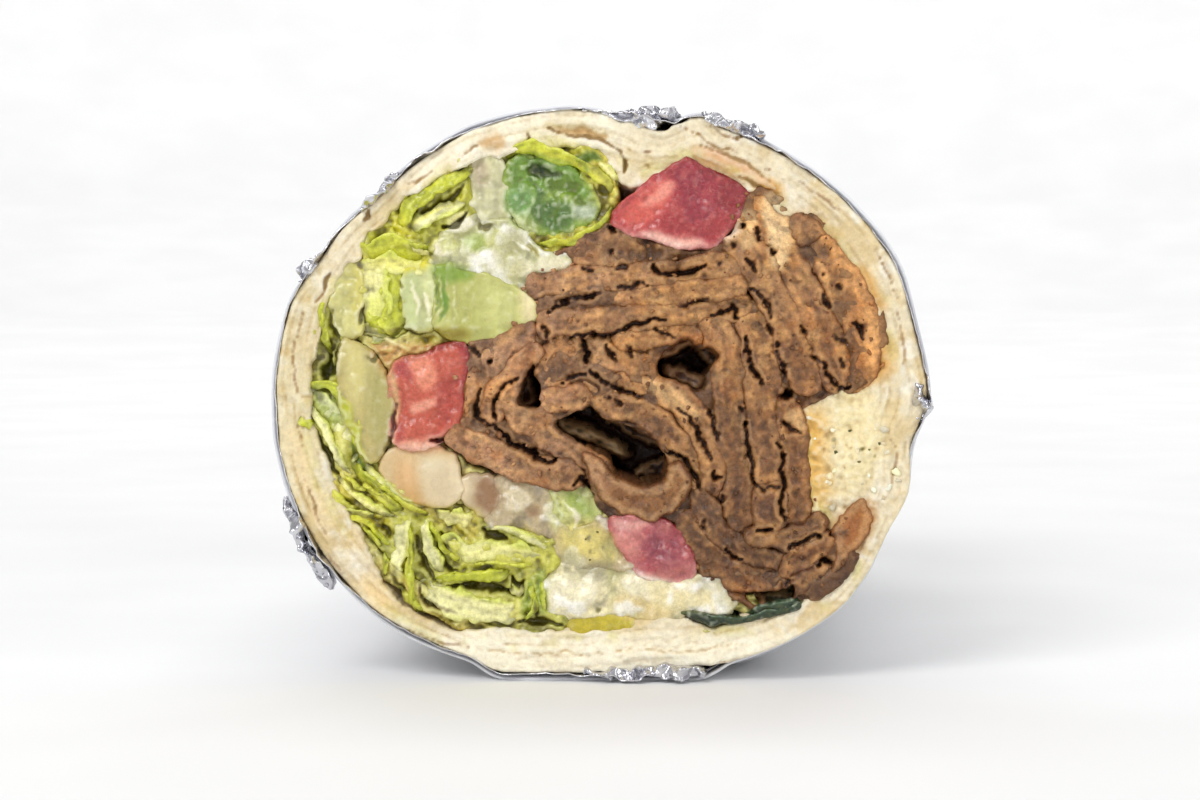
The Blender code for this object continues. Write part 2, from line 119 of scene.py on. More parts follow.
def blur(values, size):
    """Values of the grid averaged over a square of the given size in millimetres."""
    reach = max(int(size / CELL / 2), 1)
    for axis in (0, 1):
        padded = np.concatenate([np.repeat(np.take(values, [0], axis), reach + 1, axis), values,
                                 np.repeat(np.take(values, [-1], axis), reach, axis)], axis)
        total = np.cumsum(padded, axis)
        span = 2 * reach + 1
        values = (np.take(total, range(span, total.shape[axis]), axis)
                  - np.take(total, range(total.shape[axis] - span), axis)) / span
    return values


def smooth(points, closed=False, steps=6):
    """Points along a Catmull-Rom curve through the given ones."""
    p = np.array(points, float)
    if closed:
        p = np.vstack([p[-1:], p, p[:2]])
    else:
        p = np.vstack([2 * p[0] - p[1], p, 2 * p[-1] - p[-2]])
    t = np.linspace(0, 1, steps, endpoint=False)[:, None]
    spans = []
    for a, b, c, d in zip(p, p[1:], p[2:], p[3:]):
        spans.append(b + t * (c - a) / 2 + t**2 * (a - 2.5 * b + 2 * c - d / 2) + t**3 * (1.5 * (b - c) + (d - a) / 2))
    curve = np.vstack(spans)
    return curve if closed else np.vstack([curve, p[-2:-1]])


# The grid over the cut face, and distances on it

GX, GZ = np.meshgrid(np.arange(-HALF_WIDTH, HALF_WIDTH, CELL), np.arange(0, HEIGHT, CELL))
WX = GX + 0.3 * rough(11, GX, GZ, 2.0, 4, 0.6)  # the same places, shifted unevenly
WZ = GZ + 0.3 * rough(21, GX, GZ, 2.0, 4, 0.6)
SX = GX + 0.3 * rough(31, GX, GZ, 2.8, 4, 0.55)  # and shifted a little, for firm pieces
SZ = GZ + 0.3 * rough(41, GX, GZ, 2.8, 4, 0.55)
FAR = 50.0
SURFACE = np.full(GX.shape, -9.0)  # height of the topmost piece at each place, filled in as they are carved


def window(points, margin):
    """The part of the grid around some points, as a pair of slices."""
    low = np.min(points, axis=0) - margin
    high = np.max(points, axis=0) + margin
    columns = slice(max(int((low[0] + HALF_WIDTH) / CELL), 0), max(int((high[0] + HALF_WIDTH) / CELL) + 2, 0))
    rows = slice(max(int(low[1] / CELL), 0), max(int(high[1] / CELL) + 2, 0))
    return rows, columns


def line_field(points, x, z, margin=3.0):
    """Distance of each grid place to a line, and how far along the line its nearest point is, from 0 to 1."""
    where = window(points, margin)
    px, pz = x[where], z[where]
    nearest = np.full(px.shape, FAR)
    along = np.zeros(px.shape)
    side = np.zeros(px.shape)
    spans = np.linalg.norm(np.diff(points, axis=0), axis=1)
    start = np.concatenate([[0], np.cumsum(spans)])
    for (ax, az), (bx, bz), begun, span in zip(points, points[1:], start, spans):
        dx, dz = bx - ax, bz - az
        t = np.clip(((px - ax) * dx + (pz - az) * dz) / max(dx * dx + dz * dz, 1e-9), 0, 1)
        off = np.hypot(px - ax - t * dx, pz - az - t * dz)
        closer = off < nearest
        nearest = np.where(closer, off, nearest)
        along = np.where(closer, (begun + t * span) / start[-1], along)
        side = np.where(closer, np.sign(dx * (pz - az) - dz * (px - ax)), side)
    return where, nearest, along, side


def ring_field(outline, x, z, margin=3.0):
    """Distance outside a closed outline, negative inside it."""
    ring = np.vstack([outline, outline[:1]])
    where, nearest, _, _ = line_field(ring, x, z, margin)
    px, pz = x[where], z[where]
    inside = np.zeros(px.shape, bool)
    for (xa, za), (xb, zb) in zip(ring, ring[1:]):
        if za != zb:
            spans = (pz < za) != (pz < zb)
            inside ^= spans & (px < xa + (pz - za) / (zb - za) * (xb - xa))
    field = np.full(x.shape, FAR)
    field[where] = nearest * np.where(inside, -1, 1)
    return field


def front_outline(name):
    """The outline of a node's front end, read from its solid."""
    mesh = NODES[name].data
    places = np.array([v.co for v in mesh.vertices]) / MM
    near = places[:, 1] < places[:, 1].min() + 0.2
    key = [tuple(np.round(p[[0, 2]], 2)) for p in places]
    onward = {}
    for polygon in mesh.polygons:
        if all(near[i] for i in polygon.vertices):
            ring = [key[i] for i in polygon.vertices]
            for a, b in zip(ring, ring[1:] + ring[:1]):
                if (b, a) in onward:
                    del onward[(b, a)]
                else:
                    onward[(a, b)] = True
    follows = dict(onward)
    chain = {a: b for a, b in follows}
    here = next(iter(chain))
    outline = []
    while here in chain:
        outline.append(here)
        here = chain.pop(here)
    return np.array(outline)


# Relief: a piece whose front is carved on the grid, and whose sides run back through the roll


def build_mesh(name, vertices, faces, finish, attributes=None):
    mesh = bpy.data.meshes.new(name)
    mesh.from_pydata([tuple(v) for v in vertices], [], faces)
    for key, values in (attributes or {}).items():
        values = np.asarray(values, float)
        if values.ndim == 2:
            layer = mesh.attributes.new(key, "FLOAT_COLOR", "POINT")
            layer.data.foreach_set("color", linear(values).astype(np.float32).ravel())
        else:
            layer = mesh.attributes.new(key, "FLOAT", "POINT")
            layer.data.foreach_set("value", values.astype(np.float32))
    mesh.materials.append(finish)
    mesh.shade_smooth()
    piece = bpy.data.objects.new(name, mesh)
    bpy.context.scene.collection.objects.link(piece)
    return piece


CORNERS = [(slice(None, -1), slice(None, -1)), (slice(None, -1), slice(1, None)),
           (slice(1, None), slice(1, None)), (slice(1, None), slice(None, -1))]


def carve(field, front, depths, attributes, rounding):
    """Vertices, faces and attributes of a relief piece. The field says how far each grid place is outside it, front
    is the height of its front, and depths are how far back its sides go, in steps."""
    rows, columns = np.nonzero(field < 0)
    if len(rows) < 12:
        return None
    np.copyto(SURFACE, np.maximum(SURFACE, front), where=field < -0.3)
    where = (slice(max(rows.min() - 2, 0), rows.max() + 3), slice(max(columns.min() - 2, 0), columns.max() + 3))
    field, front, x, z = field[where], front[where], GX[where], GZ[where]
    inside = field < 0
    used = np.zeros(inside[1:, 1:].shape, bool)
    count = np.zeros(used.shape)
    cross_x, cross_z = np.zeros(used.shape), np.zeros(used.shape)
    for a, b in zip(CORNERS, CORNERS[1:] + CORNERS[:1]):
        used |= inside[a]
        crosses = inside[a] != inside[b]
        gap = field[a] - field[b]
        share = np.where(crosses, field[a] / np.where(gap == 0, 1, gap), 0)
        cross_x += crosses * (x[a] + share * (x[b] - x[a]))
        cross_z += crosses * (z[a] + share * (z[b] - z[a]))
        count += crosses
    middle = lambda values: sum(values[c] for c in CORNERS) / 4
    edge = count > 0
    vx = np.where(edge, cross_x / np.maximum(count, 1), middle(x))
    vz = np.where(edge, cross_z / np.maximum(count, 1), middle(z))
    deep = np.where(edge, 0, -middle(field))
    share = np.clip(1 - deep / rounding, 0, 1)
    drop = rounding * (1 - np.sqrt(np.maximum(1 - share**2, 0)))
    vy = -(middle(front) - drop)
    index = np.full(used.shape, -1)
    index[used] = np.arange(used.sum())
    vertices = np.stack([vx[used], vy[used], vz[used]], axis=1)
    core = inside[1:-1, 1:-1]
    quads = np.stack([index[:-1, :-1][core], index[:-1, 1:][core], index[1:, 1:][core], index[1:, :-1][core]], axis=1)
    values = {key: middle(value[where])[used] for key, value in attributes.items()}
    # cave: how far the front sinks below its surroundings, which the finishes turn into painted shade and painted
    # highlight
    values["cave"] = np.clip(0.5 + 1.6 * (middle(blur(front, 1.4)) - middle(front)), 0, 1)[used]
    starts = quads.ravel()
    ends = np.roll(quads, -1, axis=1).ravel()
    total = len(vertices)
    lonely = ~np.isin(starts * total + ends, ends * total + starts)
    a, b = starts[lonely], ends[lonely]
    border = np.unique(np.concatenate([a, b]))
    place = np.full(total, -1)
    place[border] = np.arange(len(border))
    layers = [vertices]
    faces = [quads]
    near_a, near_b = a, b
    base = vertices[border]
    middle_point = base.mean(axis=0)
    offset = total
    for depth in depths:
        ring = base.copy()
        ring[:, 1] = np.maximum(base[:, 1] + 0.3, depth) if depth < 3 else depth
        wander = 0.12 * min(depth, 3)
        ring[:, 0] += wander * noise(61, base[:, 0] / 2, ring[:, 1] / 2 + base[:, 2] / 3)
        ring[:, 2] += wander * noise(62, base[:, 2] / 2, ring[:, 1] / 2 + base[:, 0] / 3)
        size = 1 - (1 - TAPER) * ring[:, 1] / ROLL_LENGTH
        drawn = 1 - 0.09 * step(ring[:, 1], 1, 12)
        ring[:, 0] *= size * drawn
        ring[:, 2] = ((ring[:, 2] - MIDDLE) * drawn + MIDDLE - BREAD_LOW) * size + BREAD_LOW
        ring[:, 2] = np.maximum(ring[:, 2], 0.1)
        layers.append(ring)
        far_a, far_b = place[a] + offset, place[b] + offset
        faces.append(np.stack([near_b, near_a, far_a, far_b], axis=1))
        near_a, near_b = far_a, far_b
        offset += len(border)
    middle_point[1] = depths[-1]
    layers.append(middle_point[None])
    closing = np.stack([near_b, near_a, np.full(len(a), offset)], axis=1)
    vertices = np.vstack(layers)
    for key, value in values.items():
        values[key] = np.concatenate([value] + [value[border]] * len(depths) + [value.mean(axis=0, keepdims=True)])
    face_list = [row.tolist() for block in faces for row in block] + closing.tolist()
    return vertices, face_list, values


def to_world(vertices):
    """Section millimetres, with Y as depth behind the cut, in metres."""
    return (np.asarray(vertices) + [0, FACE, 0]) * MM


def join(parts):
    """Several carved pieces as one."""
    vertices, faces, values = [], [], {}
    offset = 0
    for v, f, a in parts:
        vertices.append(v)
        faces += [[i + offset for i in face] for face in f]
        for key, value in a.items():
            values.setdefault(key, []).append(value)
        offset += len(v)
    return np.vstack(vertices), faces, {key: np.concatenate(value) for key, value in values.items()}


def add_piece(name, carved, finish, replaced=()):
    vertices, faces, values = carved
    piece = build_mesh(name, to_world(vertices), faces, finish, values)
    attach(piece, "root")
    if replaced:
        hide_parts(*replaced)
    return piece


# Materials


def linear(colours):
    """Colours given as 0-255 display values, as the shader wants them."""
    c = np.clip(np.array(colours, float) / 255, 0, 1)
    scene = np.where(c <= 0.04045, c / 12.92, ((c + 0.055) / 1.055) ** 2.4)
    return np.concatenate([scene, np.ones(scene.shape[:-1] + (1,))], axis=-1)


class Finish:
    """A Principled material and short calls to wire its nodes."""

    def __init__(self, name, **settings):
        self.material = bpy.data.materials.new(name)
        self.material.use_nodes = True
        self.tree = self.material.node_tree
        self.shader = self.tree.nodes["Principled BSDF"]
        for key, value in settings.items():
            self.shader.inputs[key.replace("_", " ")].default_value = value
        coordinates = self.tree.nodes.new("ShaderNodeTexCoord")
        self.place = coordinates.outputs["Object"]

    def link(self, value, socket):
        if isinstance(value, bpy.types.NodeSocket):
            self.tree.links.new(value, socket)
        else:
            socket.default_value = value

    def noise(self, size, detail=3.0, roughness=0.55, distortion=0.0, stretch=None):
        """Noise with bumps of the given size in millimetres."""
        node = self.tree.nodes.new("ShaderNodeTexNoise")
        node.inputs["Scale"].default_value = 1 / (size * MM)
        node.inputs["Detail"].default_value = detail
        node.inputs["Roughness"].default_value = roughness
        node.inputs["Distortion"].default_value = distortion
        source = self.place
        if stretch:
            mapping = self.tree.nodes.new("ShaderNodeMapping")
            mapping.inputs["Scale"].default_value = stretch
            self.link(self.place, mapping.inputs["Vector"])
            source = mapping.outputs["Vector"]
        self.link(source, node.inputs["Vector"])
        return node.outputs["Fac"]

    def cells(self, size, feature="F1"):
        node = self.tree.nodes.new("ShaderNodeTexVoronoi")
        node.feature = feature
        node.inputs["Scale"].default_value = 1 / (size * MM)
        self.link(self.place, node.inputs["Vector"])
        return node.outputs["Distance"]

    def attribute(self, name):
        node = self.tree.nodes.new("ShaderNodeAttribute")
        node.attribute_name = name
        return node.outputs["Fac"]

    def painted(self):
        node = self.tree.nodes.new("ShaderNodeAttribute")
        node.attribute_name = "paint"
        return node.outputs["Color"]

    def scaled(self, colour, share):
        """The colour, brighter or darker."""
        node = self.tree.nodes.new("ShaderNodeVectorMath")
        node.operation = "SCALE"
        self.link(colour, node.inputs[0])
        self.link(share, node.inputs["Scale"])
        return node.outputs["Vector"]

    def between(self, value, low, high, first=0.0, last=1.0):
        node = self.tree.nodes.new("ShaderNodeMapRange")
        node.interpolation_type = "SMOOTHSTEP"
        self.link(value, node.inputs["Value"])
        for key, number in (("From Min", low), ("From Max", high), ("To Min", first), ("To Max", last)):
            node.inputs[key].default_value = number
        return node.outputs["Result"]

    def maths(self, operation, a, b):
        node = self.tree.nodes.new("ShaderNodeMath")
        node.operation = operation
        self.link(a, node.inputs[0])
        self.link(b, node.inputs[1])
        return node.outputs[0]

    def mix(self, share, a, b):
        """Colour a where share is 0, and b where it is 1."""
        node = self.tree.nodes.new("ShaderNodeMix")
        node.data_type = "RGBA"
        self.link(share, node.inputs["Factor"])
        for colour, key in ((a, "A"), (b, "B")):
            socket = [s for s in node.inputs if s.name == key and s.type == "RGBA"][0]
            self.link(linear(colour) if isinstance(colour, tuple) else colour, socket)
        return [s for s in node.outputs if s.type == "RGBA"][0]

    def bump(self, *heights):
        """Bumps of (height socket, depth in millimetres), one over the other."""
        normal = None
        for height, depth in heights:
            node = self.tree.nodes.new("ShaderNodeBump")
            node.inputs["Distance"].default_value = depth * MM
            self.link(height, node.inputs["Height"])
            if normal:
                self.link(normal, node.inputs["Normal"])
            normal = node.outputs["Normal"]
        self.link(normal, self.shader.inputs["Normal"])

    def carved(self, colour, hollow, ridge):
        """The colour with painted light: painted shade in the hollows of the carved front and a painted highlight on
        its ridges.
        """
        cave = self.attribute("cave")
        darker = self.mix(self.between(cave, 0.5, 1.0, 0, 0.8), colour, hollow)
        return self.mix(self.between(cave, 0.2, 0.5, 0.28, 0), darker, ridge)

    def colour(self, socket):
        self.link(socket, self.shader.inputs["Base Color"])

    def roughness(self, socket):
        self.link(socket, self.shader.inputs["Roughness"])


def meat_finish():
    f = Finish("gyro_meat", Subsurface_Weight=0.08, Subsurface_Scale=0.0008, Specular_IOR_Level=0.5)
    grain = f.scaled(f.painted(), f.between(f.noise(0.45, 5, 0.8), 0.3, 0.7, 0.7, 1.24))
    # painted shade colour for the hollows, then painted highlight colour for the ridges
    f.colour(f.carved(grain, (52, 27, 12), (214, 166, 112)))
    f.roughness(f.between(f.noise(0.6, 3), 0.3, 0.7, 0.2, 0.6))
    f.bump((f.noise(1.1, 4, 0.65), 0.24), (f.noise(0.35, 4, 0.7), 0.12))
    return f.material


def tomato_finish():
    f = Finish("tomato", Subsurface_Weight=0.3, Subsurface_Scale=0.0012, Coat_Weight=0.25, Coat_Roughness=0.22)
    f.shader.inputs["Subsurface Radius"].default_value = (1.0, 0.35, 0.25)
    veins = f.mix(f.between(f.noise(0.6, 3, 0.6, 1.0), 0.52, 0.72, 0, 0.22), f.painted(), (230, 150, 134))
    grain = f.scaled(veins, f.between(f.noise(0.4, 4, 0.7), 0.3, 0.7, 0.8, 1.14))
    # painted shade colour for the hollows, then painted highlight colour for the ridges
    f.colour(f.carved(grain, (96, 12, 16), (240, 178, 160)))
    f.roughness(f.between(f.noise(0.9, 2), 0.3, 0.7, 0.24, 0.5))
    f.bump((f.noise(1.5, 2, 0.5), 0.12), (f.noise(0.4, 3, 0.6), 0.08))
    return f.material


def wet_finish(name, hollow, ridge, coat=0.3, grainy=0.15):
    """Pale, wet, see-through leaf or flesh."""
    f = Finish(name, Subsurface_Weight=0.22, Subsurface_Scale=0.0012, Coat_Weight=coat, Coat_Roughness=0.22)
    f.shader.inputs["Subsurface Radius"].default_value = (0.9, 1.0, 0.5)
    grain = f.scaled(f.painted(), f.between(f.noise(0.5, 4, 0.7, 0.6), 0.3, 0.7, 0.97 - grainy, 0.97 + grainy))
    # the hollow colour is painted shade for the hollows, the ridge colour a painted highlight for the ridges
    f.colour(f.carved(grain, hollow, ridge))
    f.roughness(f.between(f.noise(0.8, 2), 0.3, 0.7, 0.24, 0.5))
    f.bump((f.noise(1.3, 2, 0.5), 0.9 * grainy), (f.noise(0.35, 3, 0.6), 0.4 * grainy))
    return f.material


def bread_finish():
    f = Finish("flatbread", Subsurface_Weight=0.15, Subsurface_Scale=0.001, Specular_IOR_Level=0.25)
    f.shader.inputs["Subsurface Radius"].default_value = (1.0, 0.8, 0.5)
    grain = f.scaled(f.painted(), f.between(f.noise(0.8, 4, 0.65), 0.3, 0.7, 0.88, 1.07))
    # painted shade colour for the hollows, then painted highlight colour for the ridges
    f.colour(f.carved(grain, (178, 146, 92), (250, 243, 222)))
    f.roughness(f.between(f.noise(1.4, 3), 0.3, 0.7, 0.5, 0.8))
    f.bump((f.noise(1.0, 4, 0.7), 0.24), (f.noise(0.3, 3, 0.6), 0.07))
    return f.material


# Painting the cut face: patches of colour with soft edges, and lines that taper to their ends

COLOURS = {
    "ink": (22, 14, 8), "umber": (58, 34, 18), "slit": (84, 74, 14), "olive": (142, 130, 28), "mustard": (198, 184, 56),
    "lemon": (222, 218, 62), "lime": (184, 192, 44), "grass": (160, 182, 96), "clover": (132, 164, 62),
    "sap": (110, 150, 52), "moss": (92, 122, 24), "bottle": (30, 50, 18), "jade": (122, 166, 108), "fern": (84, 120, 58),
    "mist": (172, 190, 180), "mint": (194, 208, 164), "fog": (172, 188, 140), "sage": (202, 208, 146),
    "pear": (220, 220, 136), "ivory": (232, 230, 176), "straw": (232, 220, 132), "honey": (208, 196, 112),
    "butter": (228, 222, 140), "cream": (242, 234, 204), "white": (240, 238, 228), "putty": (198, 194, 152),
    "ash": (190, 180, 166), "tan": (206, 166, 112), "beige": (224, 204, 156), "bark": (150, 116, 90),
    "blush": (226, 170, 140), "crimson": (118, 14, 22), "wine": (160, 52, 66), "rose": (214, 96, 88),
    "shell": (240, 212, 196), "rust": (178, 104, 48), "toast": (214, 160, 84), "cocoa": (104, 62, 36),
}


def spread(colour):
    """One colour over the whole grid."""
    return np.ones(GX.shape + (1,)) * np.array(COLOURS.get(colour, colour), float)


def blend(colours, colour, share):
    """The colours with another one mixed in by share."""
    target = colour if isinstance(colour, np.ndarray) else np.array(COLOURS.get(colour, colour), float)
    return colours + share[..., None] * (target - colours)


def paint_patches(colours, height, patches, x, z):
    for colour, soft, raised, points in patches:
        field = ring_field(smooth(points, closed=True, steps=4), x, z, soft + 1)
        share = 1 - step(field, -soft, soft)
        colours = blend(colours, colour, share)
        height = height + share * raised
    return colours, height


def line_share(half, points, x, z, seed):
    """How much of each grid place a tapered, uneven line covers."""
    where, off, along, _ = line_field(smooth(points), x, z, half + 1.0)
    taper = np.clip(2.2 * np.minimum(along, 1 - along), 0, 1) ** 0.8 * 0.93 + 0.07
    uneven = 1 + 0.45 * rough(seed, x[where], z[where], 1.3, 3, 0.7) + 0.4 * noise(seed + 9, 5 * along, half + 0 * along)
    width = half * taper * np.clip(uneven, 0.15, 1.7)
    share = np.zeros(GX.shape)
    share[where] = 1 - step(off, 0.3 * width, 1.15 * width + 0.06)
    return share


def paint_lines(colours, height, lines, x, z, seed=71):
    for colour, half, raised, points in lines:
        share = line_share(half, points, x, z, seed)
        colours = blend(colours, colour, share)
        height = height + share * raised
    return colours, height


def spot(x, z, radius, power=2.0):
    """1 at a place, falling to 0 beyond the radius."""
    return np.exp(-((np.hypot(GX - x, GZ - z) / radius) ** power))


FILLINGS = [n for n in sorted(NODES) if n not in ("flatbread", "paper_wrap", "foil_lining")]
MEAT_NAMES = [n for n in FILLINGS if n.startswith("meat_")]
SALAD_NAMES = [n for n in FILLINGS if n not in MEAT_NAMES]
OUTLINES = {name: front_outline(name) for name in FILLINGS}
FIELDS = {}
for name in FILLINGS:
    crumbly = name in MEAT_NAMES or name.startswith(("lettuce_", "sauce_"))
    FIELDS[name] = ring_field(OUTLINES[name], WX if crumbly else SX, WZ if crumbly else SZ)


def room(name, grow, seam):
    """Distance outside a filling that has grown to meet its neighbours."""
    others = np.minimum.reduce([FIELDS[other] for other in FILLINGS if other != name])
    own = FIELDS[name]
    return np.maximum(own - grow, (own - others) / 2 + seam)


# Meat: cracks and shadows between the slices. Half width, depth, and the line

CRACKS = [
    (0.2, 1.4, [(-6, 45.2), (-5, 46.2), (-3.5, 46.7), (-2, 46.9), (0, 47.3)]),
    (0.16, 1.2, [(2, 48), (4, 48.2), (5, 48.6), (6, 48.4)]),
    (0.3, 1.8, [(-3.8, 42.2), (-2, 42.2), (-1, 42.5), (1, 42.6), (2, 43), (4, 43.6), (6, 44.1), (8, 44.5)]),
    (0.2, 1.4, [(-7.2, 43.8), (-6.2, 41.8)]),
    (0.14, 1.0, [(8.6, 45.8), (10.5, 46.3), (13, 46.8)]),
    (0.3, 2.0, [(13.5, 44.6), (15, 45.2), (16.3, 45.7), (16.5, 44.8), (17, 44.5)]),
    (0.5, 2.4, [(6.5, 51), (7.5, 49.9), (9.4, 49.9), (11, 50.2), (12.5, 50.9)]),
    (0.2, 1.4, [(14.4, 50.6), (14.8, 51)]),
    (0.2, 1.2, [(-2.5, 50.5), (-0.5, 50.3)]),
    (0.2, 1.2, [(2, 50.5), (3.5, 50.7)]),
    (0.18, 1.2, [(1.2, 52.2), (1.4, 52.8)]),
    (0.25, 1.6, [(1.2, 55.6), (1.9, 55)]),
    (0.24, 1.6, [(17.5, 51.9), (18.4, 51), (19, 50.2)]),
    (0.2, 1.4, [(18.3, 48.2), (19.3, 47.3), (20.2, 46.2), (21, 44.5)]),
    (0.18, 1.3, [(20.5, 43.8), (20.8, 42.5)]),
    (0.18, 1.3, [(21.2, 41.8), (21.4, 41)]),
    (0.22, 1.5, [(21.3, 40.3), (22.3, 38.2), (22.5, 36.5)]),
    (0.34, 2.2, [(17.6, 42.3), (17.9, 40.5), (18.7, 38.3), (19.8, 36.5)]),
    (0.22, 1.5, [(24.2, 43.6), (25, 42.1)]),
    (0.18, 1.2, [(27, 50), (27.3, 49.5)]),
    (0.22, 1.5, [(27, 47.5), (27.7, 45.8)]),
    (0.18, 1.2, [(28.6, 48.5), (29, 47.9)]),
    (0.22, 1.5, [(30.5, 44.1), (31.3, 43.5), (32.1, 42)]),
    (0.26, 1.8, [(25.6, 40.3), (26.8, 39), (27.8, 37.5), (29.3, 36.4), (30.8, 36.2)]),
    (0.5, 2.4, [(29, 36.2), (29.4, 35.2), (30, 34.5)]),
    (0.22, 1.4, [(29.2, 39.8), (29.8, 38.1)]),
    (0.16, 1.0, [(28.3, 42.5), (29.8, 41.3)]),
    (0.7, 2.6, [(22.9, 36), (22.8, 35.1), (23.5, 34.6)]),
    (0.36, 1.8, [(22, 32), (23, 31), (24.4, 30.5)]),
    (0.26, 1.6, [(25.3, 31.8), (27.5, 32.2), (29.5, 33.7), (30.5, 34.5)]),
    (0.45, 2.4, [(-2.2, 42), (-1.7, 40), (-2.1, 39)]),
    (0.22, 1.4, [(-1.7, 37.8), (-3, 37.6), (-4.5, 36.5)]),
    (0.28, 1.8, [(-9.8, 37.5), (-11.5, 36.2), (-12.8, 34.5), (-13, 33.5), (-12.6, 32.2)]),
    (0.26, 1.8, [(-14.6, 36), (-15, 34), (-14.9, 32.5), (-14, 31.8), (-12.8, 31.6)]),
    (0.45, 2.4, [(-13, 32), (-12.5, 31), (-10.5, 29), (-8, 27.8), (-6, 26.8), (-5.5, 27.2)]),
    (0.22, 1.5, [(0.5, 41.5), (1.6, 40.4), (2.2, 38.9)]),
    (0.22, 1.5, [(3.5, 41.5), (4, 39.5)]),
    (0.26, 1.8, [(-1.2, 38.3), (0, 37), (2, 35.8), (4, 35.2), (6, 34.6)]),
    (0.18, 1.2, [(0.5, 35), (3, 34)]),
    (0.42, 2.4, [(8, 28.3), (9.5, 27.8), (10.8, 26.3), (12, 24.3), (12.5, 23.3)]),
    (0.26, 1.8, [(9.3, 33.6), (11, 32), (12.2, 29.8), (12.9, 28.8), (13.3, 27)]),
    (0.22, 1.5, [(13.2, 33.3), (14, 31.5), (14.5, 29.5)]),
    (0.36, 2.0, [(13.8, 26), (13.9, 25), (15, 25.2)]),
    (0.2, 1.2, [(17.1, 33.4), (17.3, 33.1)]),
    (0.3, 2.0, [(17.5, 31.8), (17.9, 29.5), (18.4, 27), (18.7, 25), (18.8, 24.3)]),
    (0.36, 2.2, [(21.3, 29.3), (21.9, 28.5), (22, 26.5), (22.4, 24.5), (22.2, 23), (22.4, 21), (22.5, 19.8)]),
    (0.24, 1.6, [(19, 24.3), (20.2, 23.8), (22, 24)]),
    (0.3, 1.8, [(19, 18.7), (20, 18.6), (21.3, 18.8)]),
    (0.18, 1.2, [(14.9, 23.5), (14.9, 22)]),
    (0.18, 1.2, [(12.7, 20), (12.6, 19), (13.2, 18.2)]),
    (0.22, 1.5, [(15, 17), (15.4, 16.2), (16.3, 15.4), (17.3, 15)]),
    (0.28, 1.8, [(23, 16.3), (24.3, 17), (25.5, 17.9), (27, 17.8)]),
    (0.2, 1.4, [(28, 18.3), (30.5, 18.7)]),
    (0.6, 2.6, [(26.4, 14.4), (27.2, 15), (28.6, 14.7)]),
    (0.24, 1.4, [(18.9, 55.5), (19.3, 54.4), (19.6, 53.6)]),
    (0.24, 1.2, [(20.5, 52.5), (21.2, 52.2)]),
    (0.22, 1.2, [(17.2, 55.7), (17.8, 55.7)]),
    (0.2, 1.2, [(16, 53.8), (16, 53)]),
    (0.22, 1.4, [(-16.5, 41.2), (-14.5, 39.6)]),
    (0.18, 1.2, [(-13.7, 39.1), (-13.3, 38.9)]),
    (0.4, 2.0, [(-3.5, 24), (-2.6, 25), (-1.6, 24), (-1, 22.5)]),
    (0.28, 1.6, [(22.6, 12.1), (23.4, 12.6)]),
    (0.22, 1.4, [(6.6, 43.2), (8.6, 42.4), (9.4, 41.8)]),
]
MEAT_ZONE = [
    (-8.2, 50), (-3.6, 55), (2, 56), (8, 53.4), (14, 53), (17, 57), (18.6, 60.4), (22, 59), (26, 57), (30.5, 51),
    (34, 46), (35, 42), (34, 38), (31, 35.6), (26, 32.8), (24.6, 29), (25, 23.6), (27.6, 21), (32.4, 22.2), (32.6, 18),
    (30.6, 13.6), (26, 9.8), (19, 9), (13, 12.2), (11, 16), (9, 19.8), (1, 20), (-1.4, 23.2), (-6, 24.2), (-12, 25.8),
    (-18, 28.8), (-17.4, 32), (-17, 41), (-10, 43.4),
]
HOLLOWS = [  # where the rolled slices leave the inside open
    [(-5.5, 31.2), (-4.5, 32.2), (-2.5, 33), (-1, 33.5), (0, 32.5), (2, 31.5), (4.5, 30.6), (6.5, 29.5), (8, 28),
     (8.2, 26.8), (7.5, 25.3), (6.5, 24.5), (5, 24.1), (3.5, 24.3), (2.3, 25.5), (1.6, 27), (0.2, 28.2), (-2, 29.2),
     (-4, 30.2)],
    [(7, 38.2), (7.8, 40), (9, 41), (10.5, 41.8), (12, 40.5), (13.3, 41), (14, 40), (13.5, 38.8), (12.7, 37.5),
     (12.5, 36.1), (10.5, 36.2), (8.8, 37)],
    [(-8, 38.7), (-8.2, 37.5), (-7.3, 36.5), (-7.4, 34.5), (-8, 33.5), (-9.5, 34), (-9.8, 35), (-9.4, 36.8)],
    [(18, 10.6), (22, 11.4), (23.4, 11.8), (23.2, 10), (20, 9.2)],
]
INNER_SLICES = [  # slices seen inside the hollows, painted dark as painted shade: colour, softness, height, outline
    ((74, 64, 38), 0.7, 5.0, [(-6, 32.4), (-3, 32), (0, 30.8), (3, 28.8), (3.2, 27), (1, 27.6), (-2, 29), (-5, 30)]),
    ((64, 42, 26), 0.5, 3.4, [(-1, 34), (3, 32), (8, 30), (8.6, 28.4), (5, 29), (1.6, 31), (-0.6, 32.4)]),
    ((58, 36, 22), 0.5, 2.4, [(3.6, 23.6), (8, 24.6), (9, 27.6), (6.6, 26.8), (4.4, 25.6)]),
    ((128, 72, 36), 0.4, 6.2, [(6.6, 39.4), (8.4, 42), (12, 42.6), (12.4, 41), (10.6, 40.6), (9, 39.8)]),
    ((100, 60, 36), 0.5, 5.0, [(8, 39), (10, 38.2), (13.4, 37.4), (13, 35.6), (9.6, 35.8), (7.4, 37.4)]),
    ((80, 48, 30), 0.4, 4.6, [(11.8, 40.8), (14.2, 41), (14.6, 38.4), (12.8, 38.6)]),
    ((66, 62, 30), 0.5, 6.6, [(17, 11.4), (20, 11), (24, 12.4), (24.4, 10.4), (21, 8.8), (18, 9)]),
    ((110, 66, 38), 0.3, 1.0, [(18.6, 11), (20, 10.6), (20.2, 9.4), (18.6, 9.2)]),
    ((78, 46, 28), 0.4, 5.0, [(-10, 37.4), (-8.6, 37), (-8.2, 34), (-9.6, 33.4), (-10.4, 35)]),
]


